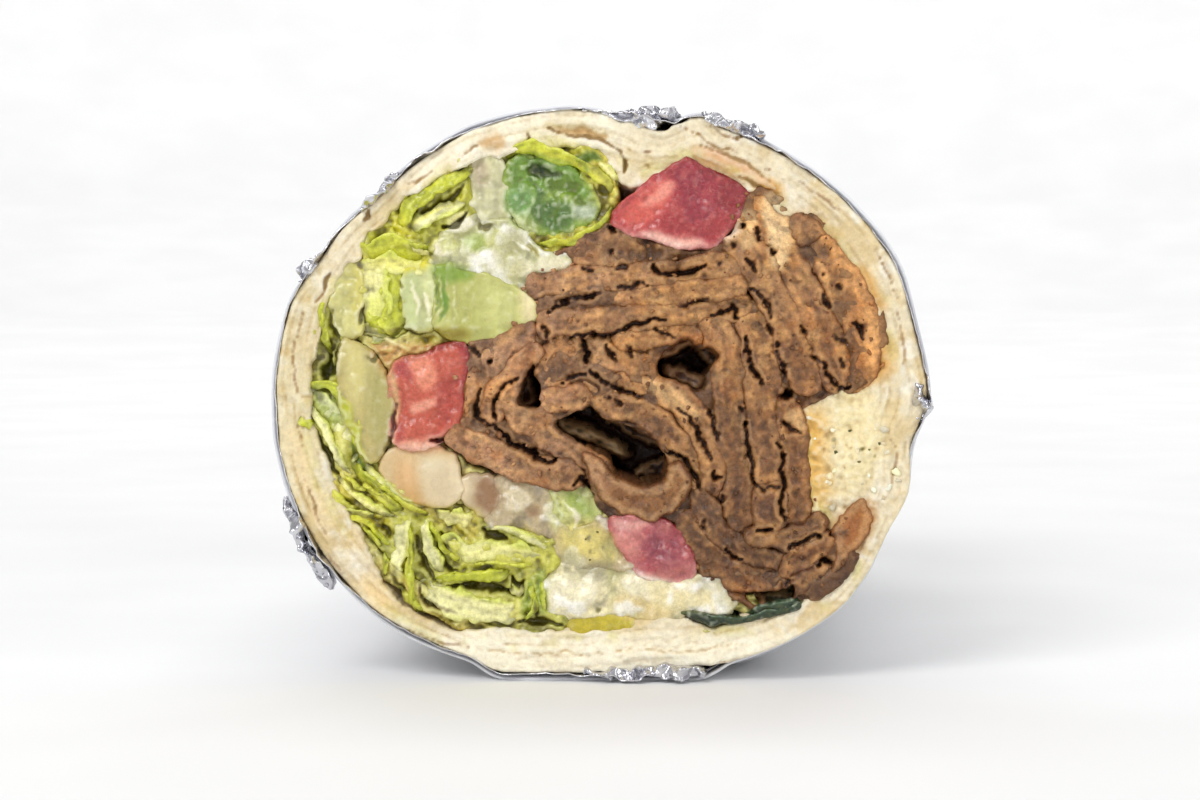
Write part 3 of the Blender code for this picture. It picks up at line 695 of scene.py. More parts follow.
MEAT_PATCHES = [  # pale crumbs of bread and fat among the meat, and darker pieces
    ((226, 190, 138), 0.5, 0.3, [(19.6, 59), (21.4, 59.6), (22.8, 57), (23, 53.4), (22, 50.4), (20.6, 51.4), (20.2, 54.6)]),
    ((216, 174, 120), 0.4, 0.2, [(16.9, 56.8), (18.8, 57.2), (19.2, 54.6), (18, 52.6), (16.9, 53.6)]),
    ((242, 216, 186), 0.3, 0.6, [(14.6, 56), (16.2, 56.8), (17, 55.2), (16, 53.6), (14.7, 54.2)]),
    ((112, 76, 44), 0.5, -0.3, [(24.8, 54.4), (26.8, 54.9), (27.9, 53.2), (26.6, 51.6), (24.9, 52.2)]),
    ((200, 142, 82), 0.8, 0.2, [(26, 57), (28.4, 55.6), (31, 52), (33, 48), (31.6, 46.6), (29, 50), (27, 53.8)]),
    ((204, 146, 84), 0.7, 0.1, [(31.8, 45.6), (34, 45), (34.6, 41), (33, 38), (31.8, 40.6)]),
    ((206, 160, 104), 0.6, 0.2, [(22.6, 33), (24.4, 33.6), (25.2, 31.2), (24, 30.6), (22.8, 31.4)]),
    ((196, 134, 70), 0.5, 0.1, [(1, 42), (3.6, 42.4), (4.6, 40.2), (3.4, 38.6), (1.4, 39.8)]),
    ((198, 156, 104), 0.5, 0.2, [(5, 37), (8, 36.6), (11, 34.4), (12, 32), (10.4, 32.6), (7.4, 34.8)]),
]
CURLS = [  # slices standing proud of their neighbours: height and outline
    (1.1, [(-2.3, 28), (-1.3, 25.2), (0.1, 22.3), (3, 20.3), (6.3, 19.9), (9.1, 20.9), (11, 23.3), (11.3, 25.7),
           (9.6, 27.3), (8.2, 26.8), (7.7, 25.2), (5.8, 24.1), (3.4, 24.5), (1.5, 26.1), (-0.4, 28)]),
    (0.9, [(28.4, 19.4), (30, 21.6), (32, 23), (33, 22), (32.8, 19.4), (31.4, 16.6), (29.6, 14.2), (28, 13.4),
           (28.6, 16.4)]),
]


def hollow_field():
    return np.minimum.reduce([ring_field(smooth(h, closed=True, steps=3), WX, WZ) for h in HOLLOWS])


def meat_colours():
    """Mottled brown, lighter in places, stained by fat and spice, with painted shade darkening it lower down and
    towards the right.
    """
    mottled = 0.5 + 0.35 * rough(161, GX, GZ, 4.0, 3, 0.6) + 0.3 * rough(163, WX, WZ, 0.9, 3, 0.7)
    colours = blend(spread((144, 97, 56)), (190, 141, 91), np.clip(mottled, 0, 1))
    pale = step(rough(165, WX, WZ, 1.7, 4, 0.7), 0.3, 0.9)
    colours = blend(colours, (212, 168, 116), 0.5 * pale)
    colours = blend(colours, (168, 124, 96), 0.45 * step(rough(167, GX, GZ, 3.2, 3, 0.6), 0.0, 0.6))
    brown = step(rough(169, WX, WZ, 1.4, 4, 0.7), 0.35, 0.9)
    colours = blend(colours, (96, 56, 26), 0.6 * brown)
    # painted shade: the meat darker lower down and towards the right
    dim = step(GZ, 47, 22) * step(GX, -15, 9) + 0.4 * step(GX, 18, 28) * step(GZ, 30, 40)
    colours = colours * (1 - dim[..., None] * np.array([0.27, 0.34, 0.44]))
    glaze = np.clip(
        spot(10, 42, 2.0) + spot(8, 39, 1.6) + 0.8 * spot(20.5, 58, 2.5) + 0.8 * spot(32, 40, 3.0) + spot(31, 19, 2.8)
        + 0.8 * spot(17.5, 10.5, 2) + 0.7 * spot(33, 46, 2.2) + 0.6 * spot(24.5, 34, 2.5) + 0.5 * spot(4, 40, 2.5)
        + 0.4 * step(rough(121, GX, GZ, 4, 3), 0.45, 0.9), 0, 0.8)
    colours = blend(colours, (186, 114, 50), glaze * (0.75 + 0.25 * noise(122, GX, GZ)))
    warm = step(GX, -6, 10)[..., None]
    return colours * (1 - warm * [0.02, 0.04, 0.14]) * (1 + (1 - warm) * [0.03, 0.04, 0.08])


def make_meat(finish):
    hollow = 0.15 - hollow_field()
    x, z = GX + 0.26 * rough(81, GX, GZ, 1.3, 4, 0.7), GZ + 0.26 * rough(91, GX, GZ, 1.3, 4, 0.7)
    painted, carving = paint_patches(meat_colours(), np.zeros(GX.shape), MEAT_PATCHES, WX, WZ)
    # each crack painted dark brown with a brown band either side: painted shade in and beside the cracks, which are
    # also cut in
    painted, carving = paint_lines(painted, carving, [((112, 70, 38), half * 1.4 + 0.35, -0.3, points)
                                                      for half, deep, points in CRACKS], x, z)
    painted, carving = paint_lines(painted, carving, [("cocoa", half * 1.1, -0.25 * deep, points)
                                                      for half, deep, points in CRACKS], x, z)
    painted, carving = paint_lines(painted, carving, [((44, 24, 11), half * 0.5, -0.55 * deep, points)
                                                      for half, deep, points in CRACKS], x, z)
    crumb = 0.15 * rough(101, GX, GZ, 1.5, 4, 0.65) + 0.16 * rough(105, GX, GZ, 3.4, 2)
    pores = (1 - step(pits(111, WX, WZ, 1.5), 0.04, 0.14)) * (noise(113, GX / 2.5, GZ / 2.5) > 0.4)
    grit = 0.09 * rough(115, GX, GZ, 0.8, 2, 0.7)
    seam = 0.22 * rough(131, GX, GZ, 2.6, 4, 0.6) - 0.24
    open_seam = np.clip(0.5 + 1.1 * rough(133, GX, GZ, 5, 3), 0.05, 1)
    for index, name in enumerate(MEAT_NAMES):
        field = np.maximum(room(name, 0.6, np.clip(seam, -0.45, 0.1)), hollow)
        rng = np.random.default_rng(500 + index)
        lean_x, lean_z = rng.uniform(-0.08, 0.08, 2)
        middle = OUTLINES[name].mean(axis=0)
        front = 0.7 + rng.uniform(-0.55, 0.55) + lean_x * (GX - middle[0]) + lean_z * (GZ - middle[1])
        spanned = OUTLINES[name] - middle
        way = np.linalg.svd(spanned, full_matrices=False)[2][0]
        run, across = GX * way[0] + GZ * way[1], WZ * way[0] - WX * way[1]
        fibres = noise(158, run / 3.5, across / 0.55) + 0.7 * noise(159, run / 2.2, across / 0.28)
        front = front + crumb + carving - 0.3 * pores + 0.3 * rough(151 + index, GX, GZ, 5, 2) + 0.08 * fibres + grit
        # a lighter golden band inside each slice's edge: painted highlight
        rim = step(-field, 0.25, 0.6) * (1 - step(-field, 0.8, 1.5))
        colours = blend(painted, (222, 168, 102), 0.45 * rim * np.clip(0.5 + rough(157, GX, GZ, 3, 3), 0, 1))
        # lighter where the grit and fibres stand up and darker where they sink: painted light on the grain, over its
        # own streaks
        colours = colours * (rng.uniform(0.88, 1.08) * (1 + 0.1 * fibres[..., None] + 1.2 * grit[..., None]))
        # cocoa over the pores and along a groove inside each slice's edge: painted shade
        colours = blend(colours, "cocoa", np.clip(0.3 * pores + 0.65 * open_seam * (1 - step(-field, 0.0, 0.4)), 0, 0.8))
        carved = carve(field, front, (1.2, 2.6, 6, 16, 40, ROLL_END - FACE), {"paint": colours}, 0.35)
        add_piece("sliced_" + name, carved, finish, [name])
    zone = ring_field(smooth(MEAT_ZONE, closed=True), WX, WZ)
    salad = np.minimum.reduce([FIELDS[n] for n in SALAD_NAMES])
    field = np.maximum.reduce([zone, hollow, 0.2 - salad])
    front = np.minimum(0.8 * rough(171, GX, GZ, 3.0, 3, 0.5) + 1.2 * crumb, 0.4) + carving
    # darker overall, and browner where the bed sinks: painted shade behind the slices
    colours = blend(painted * 0.8, "umber", np.clip(0.25 - 0.4 * front, 0, 0.8))
    parts = [carve(field, front, (2, 6, 16), {"paint": colours}, 0.3)]
    for height, outline in CURLS:
        field = ring_field(smooth(outline, closed=True, steps=4), WX, WZ)
        front = height + 1.3 * crumb - 0.2 * pores
        # the lighter band inside the edge is a painted highlight, the cocoa at the very edge painted shade
        rim = step(-field, 0.2, 0.5) * (1 - step(-field, 0.9, 1.5))
        colours = blend(painted * 1.04, (224, 184, 136), 0.4 * rim)
        colours = blend(colours, "cocoa", 0.7 * (1 - step(-field, 0.0, 0.4)))
        parts.append(carve(field, front, (1.2, 3, 8), {"paint": colours}, 0.8))
    add_piece("meat_scraps", join(parts), finish)
    field = hollow_field() - 1.0
    # very dark brown base under the inner slices: painted shade deep in the hollows
    colours, front = paint_patches(spread((48, 28, 17)), 1.0 * rough(173, GX, GZ, 3, 3) - 9, INNER_SLICES, WX, WZ)
    front = front + 0.25 * rough(175, GX, GZ, 2.4, 3)
    colours = colours * (0.85 + 0.5 * crumb[..., None])
    add_piece("meat_inside", carve(field, front, (12, 20), {"paint": colours}, 0.4), finish)


# Salad: colours and relief traced over all of its pieces

PATCHES = [
    ((206, 90, 78), 1.0, 0.0, [(2, 57), (6, 60.6), (8.6, 60.8), (8, 57.4), (5, 55.4)]),
    ((150, 44, 58), 1.0, -0.15, [(9, 62.6), (12, 62.8), (14.6, 60), (14, 57), (11.5, 56), (9.6, 58.5)]),
    ((140, 36, 44), 0.7, 0.0, [(14.5, 60.8), (17, 60.2), (18.8, 58.8), (17.4, 57.2), (15, 58)]),
    # pale lower rim of the top tomato, partly a painted highlight
    ((240, 190, 172), 0.5, 0.0, [(4.8, 54.8), (7, 53.6), (10, 53), (13, 53.6), (11.4, 54.2), (8.6, 54.3), (7, 54.8)]),
    # painted highlight streak on the top tomato
    ((236, 150, 132), 0.5, 0.1, [(4.6, 58), (7.6, 58.6), (9.2, 60.6), (8, 61), (6.4, 59.6)]),
    ((226, 138, 108), 0.6, 0.1, [(-23.4, 39.4), (-21, 40.2), (-19.6, 37), (-21.2, 35.4), (-22.6, 36.6)]),
    ((176, 66, 50), 0.7, -0.1, [(-19.4, 36), (-17.6, 37), (-17.8, 33), (-19.4, 31.2)]),
    ((232, 156, 130), 0.4, 0.1, [(-22.8, 33.6), (-20.4, 34.6), (-20, 33.6), (-22.4, 32.6)]),
    ((206, 130, 122), 0.7, 0.1, [(2, 18.6), (4.4, 17.8), (5, 15.4), (3.4, 15)]),
    ((142, 58, 72), 0.8, -0.1, [(6, 18), (9, 17.6), (9.6, 15), (7.4, 14.2), (5.6, 16)]),
    ((216, 158, 148), 0.6, 0.0, [(1.6, 19.3), (4, 18.6), (6.4, 19.4), (6.2, 20.4), (3.8, 20), (1.8, 20.4)]),
    ("sap", 0.5, 0.0, [(-10.8, 63.6), (-8, 64.4), (-5, 64), (-2.5, 62.4), (-1, 60.4), (-2, 59), (-5, 59.8), (-10.4, 60)]),
    # paler bluish green on the pepper: painted sheen
    ("jade", 0.9, 0.0, [(-11, 60), (-8, 59.6), (-8.4, 57), (-10.4, 56.6), (-11.4, 58)]),
    ("fern", 0.7, -0.1, [(-7.5, 58.6), (-4, 58.6), (-2.6, 57), (-3.5, 55.4), (-6, 55.2), (-7.8, 56.5)]),
    # painted highlight on the pepper's right side
    ("mist", 0.6, 0.15, [(-3, 58.4), (-0.8, 58.2), (-0.4, 57), (-1.2, 56.4), (-2.8, 56.6)]),
    ("mint", 0.8, 0.1, [(-11, 57.2), (-8.6, 56.2), (-7.6, 54.8), (-9.5, 54.4), (-11.4, 55.6)]),
    # near black in the pepper's recess: painted shade
    ("bottle", 0.4, -0.5, [(-8.7, 62.9), (-7.5, 63.3), (-6, 62.7), (-4.6, 62), (-6.5, 61.8), (-8.3, 61.9)]),
    ("moss", 0.4, -0.2, [(-6.2, 61.2), (-4, 61.4), (-2, 60.8), (-2.6, 60.2), (-4.5, 59.9), (-6, 60.2)]),
    ("straw", 1.0, 0.0, [(-0.8, 64.8), (1.8, 63.4), (2.2, 60), (0.6, 57.5), (-0.6, 59.5), (-1.8, 62)]),
    ("ash", 0.8, 0.0, [(-15.4, 63.4), (-13.8, 63.2), (-13.4, 61), (-15, 60.6)]),
    ("grass", 0.6, 0.1, [(-17, 54.6), (-13.5, 54.4), (-13, 52.8), (-15.5, 52.6)]),
    ("white", 0.4, 0.5, [(-18.6, 57), (-16.8, 57.6), (-15.4, 56), (-16.6, 54.6), (-18.4, 55.4)]),
    ("white", 0.4, 0.4, [(-20.2, 54.2), (-18.2, 54.4), (-17.4, 52.8), (-18.8, 51.8), (-20.4, 52.6)]),
    ("white", 0.5, 0.4, [(-14.6, 52.4), (-12, 52.8), (-9.6, 51.8), (-8, 50.6), (-9, 49.4), (-12, 49.8), (-14, 50.8)]),
    ("white", 0.5, 0.3, [(-7.6, 51.4), (-5, 52), (-3.4, 51.2), (-5, 49.8), (-7.4, 49.8)]),
    ("sage", 0.4, 0.3, [(-14, 54.8), (-12, 55.2), (-10.8, 54), (-12, 52.8), (-13.8, 53.2)]),
    ("white", 0.6, 0.3, [(-6.6, 12.4), (-4, 13.2), (-1, 12.4), (0, 10.4), (-2, 8.8), (-5.4, 8.8), (-7, 10.4)]),
    ("white", 0.5, 0.3, [(2.6, 12.8), (6, 13), (8.4, 11.2), (6, 10), (3, 10.8)]),
    ((222, 214, 200), 0.4, 0.3, [(-11.6, 23.4), (-9.6, 23.6), (-8.4, 22.4), (-9.6, 20.6), (-11.4, 21.2)]),
    ("sage", 0.5, 0.2, [(-19.5, 54), (-17.6, 54.6), (-17, 53), (-18.6, 52.4)]),
    ((212, 208, 130), 1.2, 0.0, [(-30, 52), (-26.6, 52.2), (-26.8, 47), (-28.5, 43.5), (-30.4, 47)]),
    ("lime", 0.8, -0.1, [(-28.4, 46.2), (-26, 47.5), (-24.4, 45), (-25.2, 43), (-28.2, 43.4)]),
    ("lemon", 0.8, 0.2, [(-26.5, 53.2), (-23.5, 52.6), (-20.5, 51.6), (-22, 50.2), (-26.8, 50.4), (-28.2, 51.4)]),
    ("lemon", 0.6, 0.2, [(-25.6, 56.6), (-24.2, 57), (-23, 54.5), (-24.8, 53.4), (-25.8, 54.5)]),
    ("mint", 0.5, 0.1, [(-23.6, 49.6), (-22, 49.8), (-21.8, 46), (-22.6, 43.6), (-23.6, 44)]),
    ("sage", 1.6, 0.0, [(-14, 49), (-10, 47.5), (-9, 45), (-11, 43), (-14, 44)]),
    ("clover", 0.7, 0.1, [(-19.8, 50.6), (-17, 50.8), (-15.5, 49.5), (-18, 48.6), (-19.8, 49.2)]),
    ("cream", 0.9, 0.0, [(-9.6, 48), (-8.2, 47.4), (-8, 44.4), (-9.4, 44.6)]),
    ("olive", 0.8, -0.3, [(-22.5, 42.8), (-17, 43), (-16.2, 42), (-19, 41.3), (-22, 41.6)]),
    ("tan", 0.8, 0.0, [(-28, 41.2), (-24.6, 41.4), (-21, 41.4), (-21.6, 40.3), (-25, 39.2), (-25.8, 37), (-27.4, 38.5)]),
    ((206, 200, 146), 1.2, 0.1, [(-31.6, 41.4), (-29.4, 41.4), (-28, 37), (-29.8, 33), (-30.8, 37)]),
    ((176, 172, 118), 1.2, 0.0, [(-28, 38), (-26, 36.5), (-25.6, 32), (-26.5, 29), (-28, 31)]),
    ("tan", 0.4, 0.1, [(-25.6, 37.4), (-24.8, 37), (-24.5, 33), (-25.2, 29), (-25.8, 29), (-25.2, 33)]),
    ("fog", 0.8, 0.1, [(-35.8, 36), (-33.5, 36.3), (-31.8, 34), (-31, 31.5), (-32, 30.5), (-34, 32.5)]),
    ("ivory", 0.8, 0.2, [(-33, 31), (-31, 31.5), (-30.7, 28.5), (-31.6, 27.2), (-32.8, 29)]),
    ("straw", 1.2, 0.0, [(-33.5, 25.5), (-30, 25.6), (-26, 22.5), (-27, 21), (-31, 20.6), (-33.6, 22)]),
    ("mustard", 0.9, -0.1, [(-33, 21.2), (-29, 20.2), (-26, 19.6), (-26, 18.2), (-29, 18.8), (-31.5, 19.6)]),
    ("honey", 0.9, 0.0, [(-22, 21.6), (-18, 21.2), (-14.6, 20.2), (-15.2, 17), (-18.5, 18.5), (-20.5, 20)]),
    ("pear", 0.6, 0.2, [(-19.4, 17.4), (-15, 17.6), (-11.5, 17.2), (-8.5, 16.3), (-6.2, 15.8), (-6.8, 14.3),
                        (-10, 13.7), (-14, 13.8), (-18.2, 14.3)]),
    ("ivory", 0.6, 0.3, [(-22, 12.2), (-20.3, 11.9), (-18.5, 11.3), (-14, 10.6), (-11, 10), (-9, 9.6), (-8.4, 8.8),
                         (-9, 7.5), (-13, 7.3), (-16, 7.3), (-17.5, 8.2), (-19.5, 9.7), (-21.5, 10.7)]),
    ("honey", 0.6, 0.0, [(-24.4, 12.4), (-22.8, 12), (-22.4, 9.5), (-23.5, 8), (-25, 10)]),
    ("grass", 0.6, 0.0, [(-9.6, 9.6), (-8.6, 12), (-7, 13.6), (-6.4, 10), (-7.4, 8.2), (-9.4, 7.8)]),
    ("bark", 0.6, 0.1, [(-14.8, 24.6), (-13, 24.8), (-12.4, 21.5), (-13.6, 20.6), (-15, 21.8)]),
    ("bark", 0.5, -0.1, [(-8.8, 21.6), (-7.6, 21.9), (-7.2, 20.7), (-8.4, 20.3)]),
    ("straw", 1.2, 0.0, [(-4.5, 18.8), (-1, 19.2), (1.5, 17.5), (2, 14.8), (-2, 14.8), (-4.5, 16)]),
    ("sage", 0.7, 0.1, [(-5.8, 24), (-4.2, 24), (-4, 20), (-5, 18.6), (-6.2, 20.4)]),
    ("grass", 0.7, 0.0, [(-4, 23.6), (-2, 22.4), (-0.4, 20.6), (-2, 20.4), (-3.8, 21.6)]),
    ((234, 222, 208), 1.2, 0.1, [(-19.4, 27), (-17, 26.6), (-15.8, 23.6), (-17.4, 21.8), (-19.6, 23)]),
    ("blush", 0.7, 0.0, [(-24, 29.6), (-20, 29.8), (-18.4, 29), (-21, 28.4), (-24.2, 28.6)]),
    ((226, 220, 210), 1.6, 0.2, [(-21.4, 27.4), (-19.4, 27.4), (-18.6, 25.4), (-20, 24.4), (-21.6, 25.2)]),
    ((204, 168, 118), 1.2, 0.0, [(-25, 26), (-23, 25.4), (-21, 22), (-22.4, 21), (-24.8, 22.6)]),
    ((216, 202, 184), 1.2, 0.1, [(-21, 26), (-18.4, 26.6), (-17.4, 23), (-19, 21.6), (-21.6, 22.8)]),
    ((222, 186, 150), 1.4, 0.0, [(-24.8, 27), (-22.6, 26.6), (-22.4, 24), (-24.2, 24.4)]),
    ("cream", 1.0, 0.1, [(6, 12.6), (10, 11.8), (15, 10.4), (12, 9), (7, 9.6)]),
    ("beige", 0.8, -0.1, [(2, 10.4), (6, 9.8), (9, 8.6), (6, 7.4), (2, 8.2)]),
]
LINES = [  # rims and ridges stand up; slits and shadows are cut in and painted dark as painted shade
    ("lemon", 0.45, 0.4, [(-11.2, 64.4), (-8.5, 65), (-5.5, 64.4), (-2.6, 63), (-0.6, 61.2), (0.6, 59)]),
    ("olive", 0.5, -0.3, [(-8.6, 65.5), (-6.8, 65.7), (-4.4, 65)]),
    ("moss", 0.7, 0.1, [(-2.9, 63.6), (-1.3, 63.9), (0.2, 63.4)]),
    ("moss", 0.3, 0.0, [(-1.8, 63.2), (-1.5, 62.4), (-1.1, 61.7)]),
    ("fern", 0.5, -0.2, [(-8.4, 61.4), (-7.6, 60), (-7.4, 58.6), (-8.2, 56.8)]),
    ("moss", 0.4, -0.1, [(-3.4, 60.2), (-2.6, 59), (-1.4, 58.2)]),
    ("moss", 0.35, -0.1, [(-5.8, 60), (-5.2, 58.4), (-5.8, 57)]),
    ("umber", 0.3, -0.8, [(-11.6, 64.6), (-11, 64.5), (-10.2, 64.8)]),
    ("olive", 0.35, -0.2, [(-11.2, 55.4), (-9.6, 53.6), (-8.2, 52.6), (-7.6, 51.6)]),
    ("white", 0.5, 0.5, [(-10.8, 54), (-9.8, 53.2), (-8.8, 52.6)]),
    ("mustard", 0.35, 0.1, [(-7.8, 52.4), (-5, 53.6), (-2.4, 54.2), (-0.8, 55.4)]),
    ("slit", 0.5, -0.6, [(-16.4, 60.8), (-17.2, 59.6), (-19.6, 58.2), (-22.4, 56.9)]),
    ("lemon", 0.3, 0.3, [(-16.2, 59.2), (-18, 58.4), (-20.4, 57.2), (-23.4, 55.8)]),
    ("ink", 0.36, -1.4, [(-19.6, 55.4), (-18.2, 55.3), (-17, 56.3), (-16.1, 57.5)]),
    ("slit", 0.36, -0.9, [(-14.9, 56.2), (-14.4, 55.5), (-13.4, 55.3), (-12.8, 55.6)]),
    ("olive", 0.22, -0.4, [(-25.4, 55.6), (-25.2, 53.2), (-23.2, 53), (-20.8, 52.6), (-19.4, 51.4)]),
    ("olive", 0.2, -0.3, [(-23.8, 54.4), (-22.4, 54.2)]),
    ("slit", 0.24, -0.6, [(-24.9, 50), (-24.6, 48.8), (-24.1, 47.8)]),
    ("clover", 0.3, -0.4, [(-20.4, 50.2), (-20, 48.4), (-20, 45)]),
    # two white lines on the rib: painted highlights
    ("white", 0.22, 0.3, [(-23, 49), (-22.4, 46.6), (-22.6, 45)]),
    ("white", 0.3, 0.3, [(-21.5, 47.6), (-21.2, 46), (-20.8, 44.6)]),
    ("sap", 0.4, -0.2, [(-19.4, 49.6), (-19.1, 46.4), (-19.4, 43.4)]),
    ("sage", 0.25, 0.2, [(-17.8, 48.4), (-18, 46), (-17.4, 44)]),
    ("umber", 0.35, -1.0, [(-28.5, 46.2), (-28.9, 44.8), (-29.2, 43.4)]),
    ("umber", 0.3, -1.0, [(-24, 44.4), (-24.6, 43.2), (-25.6, 42.6), (-27, 42.9)]),
    ("umber", 0.28, -0.8, [(-23.9, 43.2), (-22.6, 42.6)]),
    ("umber", 0.3, -1.0, [(-29.3, 52), (-29.4, 51.2), (-29, 50.6)]),
    ("cream", 0.42, 0.6, [(-28.9, 42.5), (-26.6, 42), (-23.8, 40.9)]),
    ("umber", 0.3, -0.8, [(-28.6, 39.8), (-27.6, 39.2), (-27.2, 40.4)]),
    ("rust", 0.3, -0.4, [(-21.6, 40.6), (-21, 41), (-20.4, 40.6)]),
    ("lime", 0.4, 0.3, [(-34, 46.6), (-34.2, 44.8), (-33.6, 43), (-32.4, 41.2)]),
    ("slit", 0.26, -0.8, [(-32.7, 45.4), (-33, 43.8), (-32.2, 42.2), (-31.8, 41.2)]),
    ("bottle", 0.85, -1.8, [(-33.3, 40), (-33.5, 38.4), (-33.7, 36.8)]),
    ("slit", 0.28, -0.8, [(-32, 41.4), (-32.4, 40.2), (-32.6, 38.6)]),
    ("umber", 0.3, -0.6, [(-25.1, 34.2), (-25.2, 31), (-26.1, 28.2)]),
    ("slit", 0.5, -1.4, [(-35.2, 31), (-34.2, 29.2), (-33.2, 26.4), (-32, 24.2)]),
    ("lime", 0.7, 0.5, [(-34.6, 36.4), (-33, 36.2), (-31.4, 34.4), (-30, 31.6), (-29.4, 28.8), (-28, 26.8)]),
    ("lime", 0.5, 0.4, [(-37, 32.4), (-36, 31.4), (-35.1, 31.6)]),
    ("moss", 0.3, -0.3, [(-30.6, 29.4), (-30, 27.6), (-28.8, 25.6), (-27.4, 24)]),
    ("lime", 0.4, 0.4, [(-28.6, 26.4), (-26.4, 24.2), (-24.6, 22.8), (-22.4, 21.6)]),
    ("slit", 0.24, -0.6, [(-27.8, 24.4), (-26.4, 22.8), (-24.2, 21)]),
    ("slit", 0.26, -0.6, [(-27.6, 21), (-26.2, 20.6), (-25, 20)]),
    ("lemon", 0.3, 0.3, [(-30.6, 23.6), (-28.4, 22), (-26.4, 20.8)]),
    ("olive", 0.26, -0.4, [(-31.6, 22), (-29.6, 20.8), (-27.4, 20)]),
    ("slit", 0.4, -0.8, [(-27.4, 19.4), (-26.2, 18.6), (-25.7, 17.6)]),
    ("lemon", 0.3, 0.3, [(-30.6, 20), (-28.2, 19.2), (-26.6, 17.8)]),
    ("slit", 0.24, -0.5, [(-27.2, 16), (-26.6, 15), (-26.2, 14)]),
    ("slit", 0.34, -1.0, [(-22.6, 17.8), (-22, 15.4), (-21, 13.4), (-20, 12)]),
    ("slit", 0.42, -1.2, [(-19.8, 18.2), (-19, 16.8), (-18.2, 15.6)]),
    ("slit", 0.32, -1.0, [(-20.2, 17), (-19.4, 15), (-18.6, 14), (-17.4, 13.7)]),
    ("umber", 0.42, -1.2, [(-22.4, 12), (-22.1, 10.2), (-20.4, 9.2), (-17.8, 8.1)]),
    ("slit", 0.62, -1.4, [(-18.6, 11.8), (-16, 11.7), (-13, 11.3), (-9.6, 10.8)]),
    ("umber", 0.6, -1.6, [(-10.8, 12.9), (-10, 11.9), (-9.2, 12.7)]),
    ("umber", 0.55, -1.4, [(-14.2, 19), (-13.2, 17.8), (-11.4, 17.5)]),
    ("slit", 0.5, -1.0, [(-9.8, 7.2), (-7.6, 7.4), (-5.6, 7), (-4, 6.8)]),
    ("umber", 0.24, -0.9, [(-8, 10), (-7.5, 8.8), (-7.8, 7.8)]),
    ("slit", 0.4, -0.7, [(-25.8, 13.2), (-24.8, 11.8), (-24, 11)]),
    ("lime", 0.35, 0.5, [(-20.4, 12.2), (-18, 12.8), (-14, 12.9), (-11, 13.3)]),
    ("lime", 0.3, 0.4, [(-21.4, 20), (-20.2, 18), (-19, 16), (-17.8, 15)]),
    ("lime", 0.35, 0.4, [(-23.2, 12.4), (-23, 10), (-22.4, 8.4)]),
    ("lime", 0.35, 0.4, [(-8.4, 12.6), (-8, 10.6), (-8.4, 9)]),
    ((168, 146, 34), 0.9, 0.0, [(-27.4, 13.4), (-25, 10), (-22, 7.4), (-19, 5.8), (-16, 5.3), (-12, 5.4), (-8, 5.6)]),
    ((196, 178, 60), 0.4, 0.2, [(-24, 9), (-21.6, 7.2), (-18, 5.8), (-15, 5.4)]),
    ("olive", 0.3, -0.4, [(-20.4, 8.2), (-18.6, 7), (-17.6, 6.2)]),
    ("olive", 0.2, -0.2, [(-19.4, 20.4), (-17.8, 18.8), (-16, 17)]),
    ("olive", 0.18, -0.2, [(-17.4, 20.2), (-16.4, 18.8), (-15.2, 17.6)]),
    ("olive", 0.18, -0.2, [(-21, 20.6), (-19.6, 19)]),
    ("ivory", 0.3, 0.3, [(-24.4, 19.4), (-24.2, 16.6), (-24.8, 14.4)]),
    ("olive", 0.2, -0.4, [(-23.4, 18.6), (-23.4, 15.6), (-23.8, 13)]),
    ("slit", 0.3, -0.8, [(-20.8, 29.5), (-19.2, 29.6), (-18.2, 30.6)]),
    ("crimson", 0.3, -1.0, [(-20.6, 29.4), (-18.8, 29.4), (-17.8, 28.4)]),
    ("slit", 0.3, -0.2, [(-1.7, 16.1), (-1.3, 16)]),
    ("slit", 0.26, -0.2, [(-1.7, 17.6), (-1.3, 17.4)]),
    ("slit", 0.24, -0.2, [(0.3, 16.4), (0.7, 16.2)]),
    ("slit", 0.3, -0.6, [(-0.6, 8.9), (-0.3, 8.3)]),
    ("mint", 0.3, 0.3, [(-5.4, 23.4), (-5, 20.6), (-5.6, 18.8)]),
    ("white", 0.4, 0.3, [(-4.4, 22.4), (-3, 19.8), (-3.4, 18.6)]),
    ("crimson", 0.35, 0.0, [(11.8, 63.6), (13.6, 62), (16.2, 60.9), (18.2, 59.8), (18.6, 58)]),
]


def salad_paint(colour, name, mottled=1.0):
    """A piece's own mottled colour."""
    seed = 800 + 3 * len(name)
    colours = spread(colour)
    light, dark = np.minimum(colours * 1.08 + 6, 250), colours * 0.76
    lighter = mottled * np.clip(1.3 * rough(seed, GX, GZ, 2.4, 4, 0.65), 0, 1)
    darker = mottled * np.clip(1.2 * rough(seed + 9, WX, WZ, 1.9, 4, 0.7), 0, 1)
    colours = colours + lighter[..., None] * (light - colours)
    return colours + darker[..., None] * (dark - colours)


def salad_marks():
    """Traced patches and lines as one overlay: colours (painted shade in the slits, and a few painted highlights among
    them), how much they cover, and relief.
    """
    nothing = np.zeros(GX.shape)
    marks, relief = paint_patches(spread((0, 0, 0)), nothing, PATCHES, SX, SZ)
    cover, _ = paint_patches(spread((0, 0, 0)), nothing, [((255, 255, 255), *p[1:]) for p in PATCHES], SX, SZ)
    marks, relief = paint_lines(marks, relief, LINES, WX, WZ)
    cover, _ = paint_lines(cover, nothing, [((255, 255, 255), *p[1:]) for p in LINES], WX, WZ)
    return marks, cover / 255, relief


MARKS, COVER, RELIEF = salad_marks()


def painted(colour, name, strength=1.0, mottled=1.0):
    """The piece's own colours under the traced marks."""
    own = salad_paint(colour, name, mottled)
    return (own * (1 - strength * COVER) + strength * MARKS) * [1.0, 0.97, 0.86]


